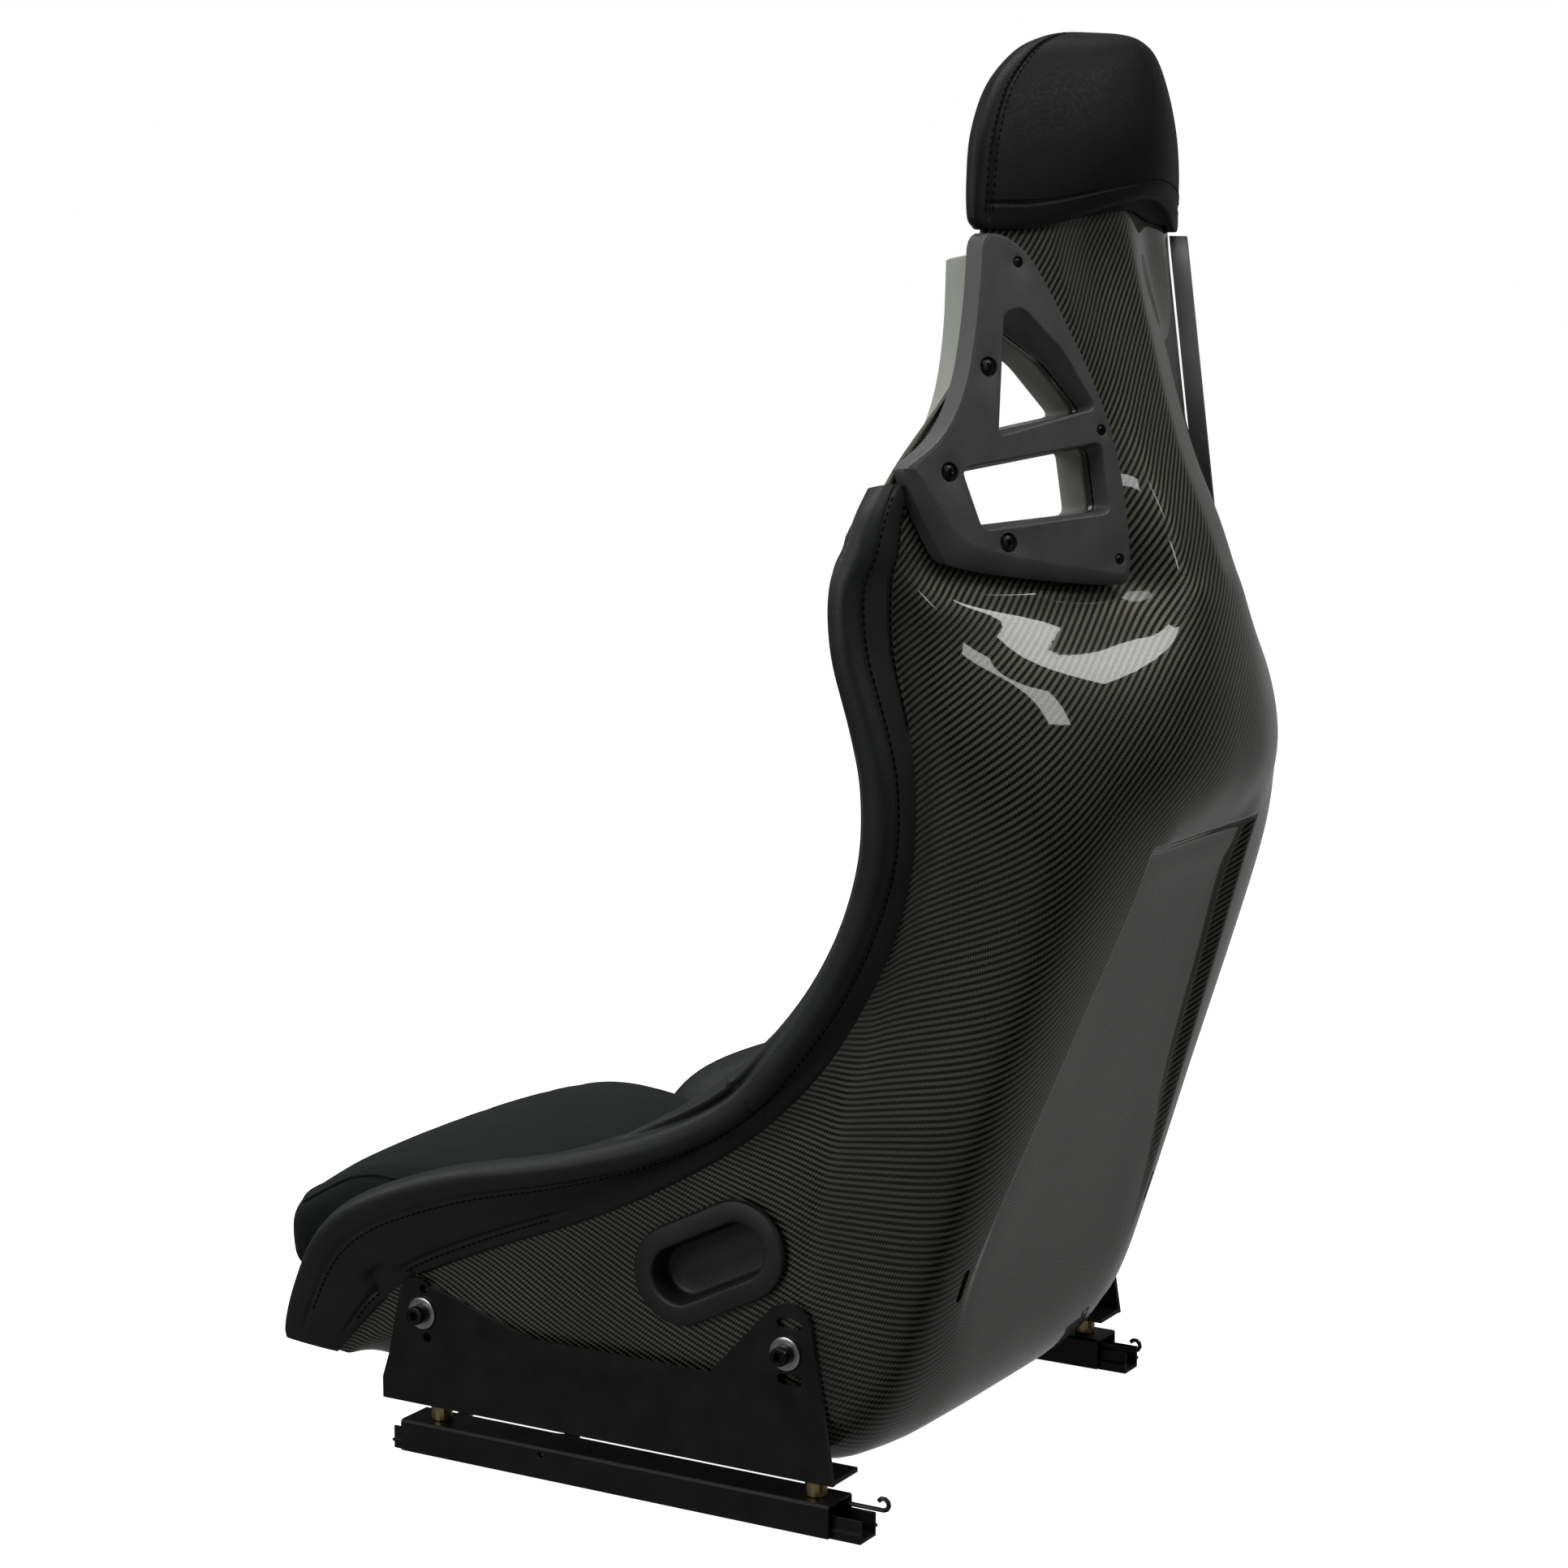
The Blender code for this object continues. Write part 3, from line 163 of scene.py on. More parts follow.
class Look(Nodes):
    """A material and shorthand for the nodes in it."""

    def __init__(self, name, sockets):
        self.material = bpy.data.materials.new(name)
        self.material.use_nodes = True
        super().__init__(self.material.node_tree)
        self.shader = self.tree.nodes["Principled BSDF"]
        for socket, value in sockets.items():
            self.shader.inputs[socket].default_value = value

    def place(self):
        return self.add("TexCoord").outputs["Object"]

    def noise(self, scale, detail=2.0, roughness=0.5):
        inputs = {"Vector": self.place(), "Scale": scale, "Detail": detail, "Roughness": roughness}
        return self.add("TexNoise", inputs).outputs["Fac"]

    def cells(self, scale):
        cells = self.add("TexVoronoi", {"Vector": self.place(), "Scale": scale}, feature="SMOOTH_F1")
        return cells.outputs["Distance"]

    def mix(self, factor, first, second):
        node = self.add("Mix", data_type="RGBA")
        self.feed(node.inputs[0], factor)
        for socket, value in ((node.inputs[6], first), (node.inputs[7], second)):
            self.feed(socket, (*value, 1.0) if isinstance(value, tuple) else value)
        return node.outputs[2]

    def bump(self, height, distance, strength, under=None):
        inputs = {"Height": height, "Distance": distance, "Strength": strength}
        if under:
            inputs["Normal"] = under
        return self.add("Bump", inputs).outputs["Normal"]

    def set(self, socket, value):
        self.feed(self.shader.inputs[socket], value)

    def tint(self, tone, dark, light):
        """Base colour that goes from dark to light over a noise's middle range."""
        self.set("Base Color", self.mix(self.span(tone, 0.3, 0.7, 0.0, 1.0), dark, light))


def carbon_look():
    """Clear-coated 2 x 2 twill: each tow runs over two and under two, one step further in the next; the tows
    that lie on top one way carry painted sheen, lightest along their crowns.
    """
    look = Look("carbon", {"Roughness": 0.42, "Metallic": 0.6, "Coat Weight": 1.0, "Coat Roughness": 0.03,
                           "Coat IOR": 1.5, "Specular IOR Level": 0.35})
    parts = look.add("SeparateXYZ", {0: look.add("UVMap", uv_map="weave").outputs[0]})
    u, v = (look.math("DIVIDE", parts.outputs[k], TOW) for k in (0, 1))
    step = look.math("SUBTRACT", look.math("FLOOR", u), look.math("FLOOR", v))
    warp_up = look.math("LESS_THAN", look.math("FRACT", look.math("DIVIDE", step, 4.0)), 0.5)
    heights = [look.math("SINE", look.math("MULTIPLY", look.math("FRACT", t), math.pi)) for t in (u, v)]
    change = look.math("MULTIPLY", warp_up, look.math("SUBTRACT", heights[0], heights[1]))
    height = look.math("ADD", heights[1], change)
    strand = look.span(look.noise(9.0, 3.0), 0.3, 0.7, 0.75, 1.15)
    # Warp tows on top take the lighter colour, lightest along their crowns and darker to their edges: painted
    # sheen of light along those tows.
    shade = look.math("MULTIPLY", look.span(height, 0.0, 1.0, 0.40, 1.0), strand)
    look.set("Base Color", look.mix(look.math("MULTIPLY", warp_up, shade), CARBON_DARK, CARBON_SHEEN_TOW))
    look.set("Normal", look.bump(height, 0.0003, 0.35))
    return look.material


def leather_look(name, colour, grain, shine=0.40):
    """Fine pebbled grain with faint wrinkles."""
    look = Look(name, {"Specular IOR Level": shine})
    wrinkles = look.noise(420.0, 3.0, 0.6)
    look.tint(look.noise(28.0), colour, tuple(c * 1.45 for c in colour))
    look.set("Roughness", look.span(wrinkles, 0.3, 0.7, 0.44, 0.60))
    fine = look.bump(look.cells(grain), 0.0005, 0.18)
    look.set("Normal", look.bump(wrinkles, 0.0006, 0.10, fine))
    return look.material


def fabric_look():
    """Short-napped cloth: brushed patches and a very fine nap."""
    look = Look("fabric", {"Specular IOR Level": 0.15, "Sheen Weight": 0.12, "Sheen Roughness": 0.5,
                           "Sheen Tint": (0.55, 0.62, 0.60, 1.0)})
    nap = look.noise(1400.0, 2.0, 0.7)
    brushed = look.noise(22.0, 3.0, 0.6)
    shade = look.math("ADD", look.math("MULTIPLY", nap, 0.45), look.math("MULTIPLY", brushed, 0.55))
    look.tint(shade, (0.0060, 0.0074, 0.0072), (0.0115, 0.0138, 0.0134))
    look.set("Roughness", look.span(nap, 0.3, 0.7, 0.85, 1.0))
    look.set("Normal", look.bump(nap, 0.0006, 0.30))
    return look.material


def plastic_look(name, dark, light, grain, depth, roughness):
    """Moulded plastic with a spark-eroded grain."""
    look = Look(name, {"Specular IOR Level": 0.60})
    fine = look.noise(grain, 2.0, 0.6)
    look.tint(look.noise(35.0, 3.0), dark, light)
    look.set("Roughness", look.span(fine, 0.3, 0.7, roughness - 0.07, roughness + 0.07))
    look.set("Normal", look.bump(fine, depth, 0.5))
    return look.material


def metal_look(name, dark, light, roughness, metallic, grain):
    """Plated or painted metal: fine texture, soft tone patches and slightly uneven gloss."""
    look = Look(name, {"Metallic": metallic})
    patch = look.noise(45.0, 3.0)
    look.tint(patch, dark, light)
    look.set("Roughness", look.span(patch, 0.25, 0.75, roughness - 0.06, roughness + 0.08))
    look.set("Normal", look.bump(look.noise(grain, 3.0, 0.55), 0.0001, 0.35))
    return look.material


# Black of the carbon fibre, and the lighter colour of the warp tows on top, which is painted sheen.
CARBON_DARK = (0.0006, 0.0006, 0.0005)
CARBON_SHEEN_TOW = (0.225, 0.219, 0.176)
LOOKS = {
    "carbon": carbon_look(),
    "fabric": fabric_look(),
}
# name: colour, grain, shine
for key, spec in {
    "leather": ((0.0136, 0.0154, 0.0148), 820.0, 0.40),
    # The headrest's leather is the seat's leather painted less than half as light: painted shade on the
    # headrest.
    "headrest_leather_painted_shade": ((0.0058, 0.0064, 0.0063), 820.0, 0.20),
    "thread": ((0.0012, 0.0013, 0.0013), 1500.0, 0.10),
}.items():
    LOOKS[key] = leather_look(key, *spec)
# name: dark and light tone, grain, its depth, roughness
for key, spec in {
    "grey_trim": ((0.370, 0.386, 0.346), (0.420, 0.436, 0.392), 1500.0, 0.0003, 0.62),
    # The cover's black plastic is painted a dark grey, lighter than the plastic itself: partly its own black,
    # partly painted sheen of its grained face.
    "black_plastic": ((0.0700, 0.0688, 0.0696), (0.0920, 0.0905, 0.0914), 1700.0, 0.0004, 0.40),
    "guide_plastic": ((0.0130, 0.0132, 0.0134), (0.0190, 0.0192, 0.0195), 1700.0, 0.0004, 0.44),
}.items():
    LOOKS[key] = plastic_look(key, *spec)
# name: dark and light tone, roughness, metallic, grain
for key, spec in {
    "black_steel": ((0.0050, 0.0058, 0.0060), (0.0085, 0.0094, 0.0096), 0.42, 0.1, 1300.0),
    # The rails' black coat is painted darker than the side mounts' same coat: painted shade under the mounts.
    "rail_steel_painted_shade": ((0.0022, 0.0026, 0.0027), (0.0040, 0.0045, 0.0046), 0.46, 0.0, 1300.0),
    "bolt_steel": ((0.030, 0.031, 0.034), (0.055, 0.056, 0.060), 0.34, 1.0, 900.0),
    "zinc": ((0.56, 0.56, 0.55), (0.74, 0.73, 0.71), 0.30, 1.0, 700.0),
    "brass": ((0.52, 0.42, 0.20), (0.68, 0.57, 0.30), 0.34, 1.0, 800.0),
    "spring_steel": ((0.36, 0.36, 0.37), (0.52, 0.52, 0.53), 0.30, 1.0, 800.0),
}.items():
    LOOKS[key] = metal_look(key, *spec)


# ---------------------------------------------------------------- mesh helpers
def mesh_from(name, points, faces, smooth=35.0):
    """Mesh with its faces turned outwards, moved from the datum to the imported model's frame."""
    mesh = bpy.data.meshes.new(name)
    mesh.from_pydata([(p[0], p[1] - DATUM_Y, p[2]) for p in points], [], faces)
    work = bmesh.new()
    work.from_mesh(mesh)
    bmesh.ops.recalc_face_normals(work, faces=work.faces)
    work.to_mesh(mesh)
    work.free()
    mesh.shade_smooth()
    mesh.set_sharp_from_angle(angle=math.radians(smooth))
    return mesh


def add_piece(name, mesh, look, replaces=()):
    """Piece that rides the seat, dressed in its look."""
    piece = bpy.data.objects.new(name, mesh)
    bpy.context.scene.collection.objects.link(piece)
    mesh.materials.clear()
    mesh.materials.append(LOOKS[look])
    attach(piece, "seat")
    if replaces:
        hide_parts(*replaces)
    return piece


def bake(piece):
    """Puts the result of the piece's modifiers in its mesh."""
    graph = bpy.context.evaluated_depsgraph_get()
    graph.update()
    made = bpy.data.meshes.new_from_object(piece.evaluated_get(graph))
    piece.modifiers.clear()
    piece.data = made
    return piece


def cut(piece, cutter_mesh, smooth=35.0):
    """Takes a closed mesh away from the piece."""
    cutter = bpy.data.objects.new("cutter", cutter_mesh)
    bpy.context.scene.collection.objects.link(cutter)
    modifier = piece.modifiers.new("cut", "BOOLEAN")
    modifier.operation = "DIFFERENCE"
    modifier.solver = "MANIFOLD"
    modifier.object = cutter
    bake(piece)
    bpy.data.objects.remove(cutter)
    piece.data.shade_smooth()
    piece.data.set_sharp_from_angle(angle=math.radians(smooth))


def carved(name, mesh, cutters):
    """Mesh with closed meshes taken away from it."""
    body = bpy.data.objects.new(name, mesh)
    bpy.context.scene.collection.objects.link(body)
    for cutter in cutters:
        cut(body, cutter)
    mesh = body.data
    bpy.data.objects.remove(body)
    return mesh


def joined(meshes):
    """One mesh that holds several, each already in place."""
    work = bmesh.new()
    for mesh in meshes:
        work.from_mesh(mesh)
    made = bpy.data.meshes.new("joined")
    work.to_mesh(made)
    work.free()
    return made


def ring_faces(count, starts, looped=False):
    """Quads between rings of so many points, given the index that each ring starts at."""
    pairs = list(zip(starts, starts[1:]))
    if looped:
        pairs.append((starts[-1], starts[0]))
    turns = [(i, (i + 1) % count) for i in range(count)]
    return [[a + i, a + j, b + j, b + i] for a, b in pairs for i, j in turns]


def loft(name, rings, smooth=35.0, looped=False):
    """Mesh through rings of equal length, looped back to the first or with a flat face over each end."""
    count = len(rings[0])
    points = [p for ring in rings for p in ring]
    last = len(points) - count
    caps = [] if looped else [list(range(count)), list(range(last, last + count))]
    return mesh_from(name, points, caps + ring_faces(count, range(0, len(points), count), looped), smooth)


def slab(name, outer, inner):
    """Closed mesh between two grids of points of the same size."""
    rows, columns = outer.shape[:2]
    points = np.vstack([outer.reshape(-1, 3), inner.reshape(-1, 3)])
    far = rows * columns
    faces = []
    for r in range(rows - 1):
        for c in range(columns - 1):
            a = r * columns + c
            quad = [a, a + columns, a + columns + 1, a + 1]
            faces += [quad, [far + i for i in reversed(quad)]]
    edge = list(range(columns)) + [r * columns + columns - 1 for r in range(1, rows)]
    edge += [far - 1 - c for c in range(1, columns)] + [r * columns for r in range(rows - 2, 0, -1)]
    faces += [[a, b, far + b, far + a] for a, b in zip(edge, edge[1:] + edge[:1])]
    return mesh_from(name, points, faces, 50.0)


def arc(centre, radius, start, end, steps):
    """Points of an arc in a plane, angles in degrees."""
    angles = [math.radians(start + (end - start) * i / steps) for i in range(steps + 1)]
    return [(centre[0] + radius * math.cos(a), centre[1] + radius * math.sin(a)) for a in angles]


def stadium(centre, length, width, tilt, steps=18):
    """Long round-ended outline about a centre, its long axis turned by the tilt in degrees."""
    half = (length - width) / 2
    ends = arc((half, 0), width / 2, -90, 90, steps) + arc((-half, 0), width / 2, 90, 270, steps)
    c, s = math.cos(math.radians(tilt)), math.sin(math.radians(tilt))
    return [(centre[0] + a * c - b * s, centre[1] + a * s + b * c) for a, b in ends]


def rounded(corners, radius):
    """Outline through the corners, each one rounded by a short curve."""
    outline = []
    for i, corner in enumerate(corners):
        here = Vector(corner)
        before = Vector(corners[i - 1]) - here
        after = Vector(corners[(i + 1) % len(corners)]) - here
        first = here + before.normalized() * min(radius, before.length * 0.45)
        last = here + after.normalized() * min(radius, after.length * 0.45)
        for t in (k / 6 for k in range(7)):
            point = first * (1 - t) ** 2 + here * (2 * t * (1 - t)) + last * t ** 2
            outline.append((point.x, point.y))
    return outline


def worn_corners(outline):
    """Closed outline with its corners cut again and again, which keeps two outlines in step."""
    points = np.array(outline, float)
    for _ in range(2):
        after = np.roll(points, -1, axis=0)
        pairs = [points * 0.75 + after * 0.25, points * 0.25 + after * 0.75]
        points = np.stack(pairs, 1).reshape(-1, points.shape[1])
    return points


def grown(outline, distance):
    """Closed outline moved outwards by a distance, one for each point or one for all."""
    points = np.array(outline, float)
    along = np.roll(points, -1, axis=0) - np.roll(points, 1, axis=0)
    along /= np.linalg.norm(along, axis=1, keepdims=True)
    area = np.sum(points[:, 0] * np.roll(points[:, 1], -1) - points[:, 1] * np.roll(points[:, 0], -1))
    out = np.stack([along[:, 1], -along[:, 0]], 1) * np.sign(area)
    return points + out * np.broadcast_to(np.asarray(distance, float), (len(points),))[:, None]


def circle(sides, radius=1.0):
    """Corners of a regular outline about the origin."""
    angles = (2 * math.pi * i / sides for i in range(sides))
    return [(radius * math.cos(a), radius * math.sin(a)) for a in angles]


def turned(name, profile, sides, looped=False):
    """Mesh turned about Z from (radius, height) pairs down the outer side, with ends on the axis or looped."""
    rings = [[(x, y + DATUM_Y, h) for x, y in circle(sides, max(r, 0.00001))] for r, h in profile]
    return loft(name, rings, looped=looped)


def placed(mesh, place):
    made = mesh.copy()
    made.transform(place)
    return made


def along_x(x, y, z, side):
    """Placing of a turned piece whose own Z points outwards along the seat's side."""
    turn = Matrix.Rotation(math.radians(90.0) * side, 4, "Y")
    return Matrix.Translation((x * side, y - DATUM_Y, z)) @ turn


# ---------------------------------------------------------------- the shell's surface
def spline_weights(count, values):
    """Weights of a Catmull-Rom curve through so many points, one row for each value of its parameter."""
    values = np.asarray(values, float).ravel()
    start = np.clip(np.floor(values), 0, count - 2).astype(int)
    t = values - start
    blend = np.stack([
        (-t + 2 * t ** 2 - t ** 3) / 2,
        (2 - 5 * t ** 2 + 3 * t ** 3) / 2,
        (t + 4 * t ** 2 - 3 * t ** 3) / 2,
        (-t ** 2 + t ** 3) / 2,
    ], axis=1)
    padded = np.zeros((len(values), count + 2))
    padded[np.arange(len(values))[:, None], start[:, None] + np.arange(4)] = blend
    rows = padded[:, 1:-1].copy()           # an end's missing neighbour lies straight on past it
    rows[:, 0] += 2 * padded[:, 0]
    rows[:, 1] -= padded[:, 0]
    rows[:, -1] += 2 * padded[:, -1]
    rows[:, -2] -= padded[:, -1]
    return rows


def near_ends(count, values, reach):
    """The reach at each value, less where an end of the curve is nearer."""
    return np.clip(np.minimum(values, count - 1 - values), 0, reach)


def eased_weights(count, values):
    """The curve's weights averaged over a short reach, which evens out its curvature; the ends stay."""
    values = np.asarray(values, float)
    reach = near_ends(count, values, EASE)
    shares = ((-1.0, 1), (-0.5, 2), (0.0, 3), (0.5, 2), (1.0, 1))
    return sum(spline_weights(count, values + reach * shift) * share for shift, share in shares) / 9.0


def creased_weights(count, values):
    """Weights of straight runs between the points with a short round at each."""
    values = np.asarray(values, float)
    reach = near_ends(count, values, CREASE_REACH)
    total = np.zeros((len(values), count))
    for shift in np.linspace(-1, 1, 9):
        at = np.clip(values + reach * shift, 0, count - 1)
        start = np.clip(np.floor(at), 0, count - 2).astype(int)
        total[np.arange(len(at)), start] += 1 - (at - start)
        total[np.arange(len(at)), start + 1] += at - start
    return total / 9.0


# Control points from the right rim to the left rim, for every section.
NET = np.array([[(-x, y, z) for x, y, z in section[:0:-1]] + section for section in SHELL_SECTIONS], float)
EASE = 0.28                             # reach of the averaging, in columns and rows
CREASE_REACH = 0.12                     # round of the spine's edges, in columns
SPINE_CREASE = 0.85
CREASE_ROWS = ((13.2, 14.4), (17.6, 18.8))       # the creases come in and go out between these rows


def smoothstep(low, high, value):
    t = np.clip((np.asarray(value, float) - low) / (high - low), 0, 1)
    return t * t * (3 - 2 * t)


PANEL_ROWS = (5.6, 8.0)                 # the lower back's panel fades in between these rows
PANEL_TOP = (10.17, 10.30)              # and ends in a step between these
PANEL_EDGE = (1.84, 2.03)               # columns of its side steps
PANEL_LINE = (0.330, 0.430, 0.372)      # y, z and slope of its floor near the top


def recessed(points, us, vs):
    """Pushes the middle of the lower back in to a flat panel with a crisp step round it."""
    us, vs = np.abs(us), np.asarray(vs, float)
    y0, z0, slope = PANEL_LINE
    floor_line = y0 + slope * (points[..., 2] - z0)
    centre = spline_point(np.zeros_like(vs), vs)[..., 1]
    floor = np.where(vs > 10.0, floor_line, centre)
    inside = 1 - smoothstep(*PANEL_EDGE, us)
    fade = smoothstep(*PANEL_ROWS, vs) * (1 - smoothstep(*PANEL_TOP, vs))
    depth = np.maximum(points[..., 1] - floor, 0) * inside * fade
    moved = points.copy()
    moved[..., 1] -= depth
    return moved


def spline_point(us, vs):
    """Points of the eased surface at paired columns and rows of any shape."""
    us, vs = np.broadcast_arrays(np.asarray(us, float), np.asarray(vs, float))
    share = crease(vs.ravel())[:, None]
    across = eased_weights(NET.shape[1], us.ravel() + RIM) * (1 - share)
    across += creased_weights(NET.shape[1], us.ravel() + RIM) * share
    along = eased_weights(NET.shape[0], vs.ravel())
    flat = np.einsum("ni,nik->nk", along, np.einsum("ijk,nj->nik", NET, across))
    return flat.reshape(us.shape + (3,))


def crease(rows):
    """How crisp the edges of the spine are at each row."""
    start, end = CREASE_ROWS
    return SPINE_CREASE * smoothstep(*start, rows) * (1 - smoothstep(*end, rows))


def surface_grid(columns, rows):
    places = np.asarray(columns, float) + RIM
    along = eased_weights(NET.shape[0], rows)
    soft = np.einsum("ri,ijk,cj->rck", along, NET, eased_weights(NET.shape[1], places))
    hard = np.einsum("ri,ijk,cj->rck", along, NET, creased_weights(NET.shape[1], places))
    share = crease(rows)[:, None, None]
    return recessed(soft * (1 - share) + hard * share, *np.meshgrid(columns, rows))


def unit(vectors):
    return vectors / np.maximum(np.linalg.norm(vectors, axis=-1, keepdims=True), 1e-12)


def shell_grid(columns, rows, offset=0.0):
    """Points on the shell's outer face, moved outwards by the offset. Columns run from -RIM to RIM."""
    columns, rows = np.asarray(columns, float), np.asarray(rows, float)
    step = 0.02
    du = surface_grid(columns + step, rows) - surface_grid(columns - step, rows)
    dv = surface_grid(columns, rows + step) - surface_grid(columns, rows - step)
    normal = unit(np.cross(du, dv))
    offsets = np.broadcast_to(np.asarray(offset, float), (len(rows), len(columns)))
    return surface_grid(columns, rows) - normal * offsets[..., None]


def shell_points(us, vs, offset, past=0.0):
    """Points at paired columns and rows, moved outwards by an offset and on past the rim by a length."""
    us, vs = np.asarray(us, float), np.asarray(vs, float)
    step = 0.02
    du = spline_point(us + step, vs) - spline_point(us - step, vs)
    dv = spline_point(us, vs + step) - spline_point(us, vs - step)
    out = -unit(np.cross(du, dv))
    rimward = unit(du) * np.sign(us)[..., None]
    past = np.broadcast_to(np.asarray(past, float), us.shape)
    offset = np.broadcast_to(np.asarray(offset, float), us.shape)
    return spline_point(us, vs) + out * offset[..., None] + rimward * past[..., None], out, unit(dv)


def fine_range(start, end, step, dense=()):
    """Evenly spaced values with more of them inside each (low, high, step) span."""
    values = list(np.arange(start, end + step / 2, step))
    for low, high, small in dense:
        values += list(np.arange(low, high + small / 2, small))
    values = np.unique(np.round(values, 4))
    return values[(values >= start) & (values <= end)]


# ---------------------------------------------------------------- harness guide's plane
def wing_point(x, z, height, side=1):
    """Point over the harness guide's plane: height is measured out of its face."""
    normal = Vector((-WING_SLOPE_X, 1.0, -WING_SLOPE_Z)).normalized()
    point = Vector((x, WING_BASE_Y + WING_SLOPE_X * x + WING_SLOPE_Z * z, z)) + normal * height
    return (point.x * side, point.y, point.z)


def wing_frame(x, z, height, side):
    """Placing whose own Z leaves the harness guide's face at a point of it."""
    normal = Vector((-WING_SLOPE_X * side, 1.0, -WING_SLOPE_Z)).normalized()
    turn = normal.to_track_quat("Z", "Y").to_matrix().to_4x4()
    x, y, z = wing_point(x, z, height, side)
    return Matrix.Translation((x, y - DATUM_Y, z)) @ turn


def wing_prism(outline, side, low, high):
    return loft("wing_prism", [[wing_point(x, z, h, side) for x, z in outline] for h in (low, high)])


WINDOW_TOP = metres([
    (141.5, 779), (114, 760), (87, 727), (157, 716.5),
])
WINDOW_LOW = metres([
    (187, 692), (85, 705), (84, 664), (179, 659),
])
WINDOW_ROUND = 0.006


# ---------------------------------------------------------------- shell
WEAVE_UP = (0.0, 0.25, 1.0)             # the cloth's own up
LEAN_X = (0.120, 0.195)                 # the cloth leans back outside these widths
LEAN_TOP = 0.62                         # and more the further down from this height
LEAN_SPAN = 0.45
WEAVE_ROUNDS = 900
BACK_SLOT = (0.145, 0.161)              # (x, z) of a short upright slot low on each side of the back


def woven(points):
    """Weave coordinates over a grid of points: V runs up the shell and leans back along its sides, so that the
    lines of the twill follow the laminate as laid. Each is the least-squares fit to the cloth's directions."""
    out = -unit(np.cross(np.gradient(points, axis=1), np.gradient(points, axis=0)))
    across = unit(np.cross(np.array(WEAVE_UP), out))
    up = np.cross(out, across)
    x, z = points[..., 0], points[..., 2]
    low = np.clip((LEAN_TOP - z) / LEAN_SPAN, 0, 1) ** 0.8
    lean = math.radians(45.0) * smoothstep(*LEAN_X, np.abs(x)) * low * np.sign(x)
    cos, sin = np.cos(lean)[..., None], np.sin(lean)[..., None]
    sides = (points[:, 1:] - points[:, :-1], points[1:] - points[:-1])
    long_h, long_v = (np.linalg.norm(side, axis=2) for side in sides)
    tall = np.pad(long_v, ((1, 1), (0, 0)), mode="edge")
    wide = np.pad(long_h, ((0, 0), (1, 1)), mode="edge")
    tall = (tall[1:] + tall[:-1]) / 2
    wide = (wide[:, 1:] + wide[:, :-1]) / 2
    weight_h = (tall[:, 1:] + tall[:, :-1]) / 2 / np.maximum(long_h, 1e-5)
    weight_v = (wide[1:] + wide[:-1]) / 2 / np.maximum(long_v, 1e-5)

    def gather(h, v, back=-1):
        """Sum at each point of what its four sides bring."""
        total = np.zeros(points.shape[:2])
        total[:, 1:] += h
        total[:, :-1] += back * h
        total[1:] += v
        total[:-1] += back * v
        return total

    def apply(t):
        return gather(weight_h * (t[:, 1:] - t[:, :-1]), weight_v * (t[1:] - t[:-1]))

    scale = 1.0 / np.maximum(gather(weight_h, weight_v, 1), 1e-9)

    def solve(direction):
        """Conjugate gradients from a first guess that walks out from the middle column."""
        want_h = np.einsum("rck,rck->rc", sides[0], (direction[:, 1:] + direction[:, :-1]) / 2)
        want_v = np.einsum("rck,rck->rc", sides[1], (direction[1:] + direction[:-1]) / 2)
        middle = points.shape[1] // 2
        value = np.zeros(points.shape[:2])
        value[1:, middle] = np.cumsum(want_v[:, middle])
        for c in range(middle, points.shape[1] - 1):
            value[:, c + 1] = value[:, c] + want_h[:, c]
        for c in range(middle, 0, -1):
            value[:, c - 1] = value[:, c] - want_h[:, c - 1]
        rest = gather(weight_h * want_h, weight_v * want_v) - apply(value)
        move = rest * scale
        energy = (rest * move).sum()
        for _ in range(WEAVE_ROUNDS):
            pushed = apply(move)
            length = energy / max((move * pushed).sum(), 1e-30)
            value = value + move * length
            rest = rest - pushed * length
            aim = rest * scale
            fresh = (rest * aim).sum()
            if fresh < 1e-14:
                break
            move = aim + move * (fresh / energy)
            energy = fresh
        return value

    return np.stack([solve(across * cos - up * sin), solve(up * cos + across * sin)], axis=2)


def make_shell():
    half = fine_range(0, RIM, 0.1, [(1.78, 2.08, 0.025)])
    columns = np.concatenate([-half[:0:-1], half])
    rows = fine_range(0, TOP, 0.125, [(10.10, 10.36, 0.026)])
    outer = shell_grid(columns, rows)
    mesh = slab("carbon_shell", outer, shell_grid(columns, rows, -SHELL_THICK))
    weave = woven(outer).reshape(-1, 2)
    weave = np.vstack([weave, weave])
    layer = mesh.uv_layers.new(name="weave")
    corner = np.zeros(len(mesh.loops), np.int32)
    mesh.loops.foreach_get("vertex_index", corner)
    layer.data.foreach_set("uv", weave[corner].astype(np.float32).ravel())
    shell = add_piece("carbon_shell", mesh, "carbon", replaces=["seat_shell"])
    side_holes = [stadium(BELT_GUIDE_CENTRE, 0.094, 0.042, BELT_GUIDE_TILT)]
    side_holes += [arc(spot, 0.0046, 0, 345, 23) for spot in (BOLT_FRONT, BOLT_REAR)]
    slot = stadium(BACK_SLOT, 0.0230, 0.0052, 90, 8)
    cutters = []
    for side, _ in SIDES:
        for window in (WINDOW_TOP, WINDOW_LOW):
            cutters.append(wing_prism(rounded(window, WINDOW_ROUND), side, -0.045, 0.02))
        for outline in side_holes:
            cutters.append(loft("side_hole", [[(x * side, y, z) for y, z in outline] for x in (0.190, 0.235)]))
        cutters.append(loft("back_slot", [[(x * side, y, z) for x, z in slot] for y in (0.19, 0.26)]))
    cut(shell, joined(cutters), 50.0)
    return shell


# ---------------------------------------------------------------- leather
STITCH_GAP = 0.0050
STITCH_LENGTH = 0.0036
STITCH_RADIUS = 0.00062
STITCH_RINGS = [(-1.0, 0.35), (-0.75, 0.85), (0.0, 1.0), (0.75, 0.85), (1.0, 0.35)]    # place along it, size


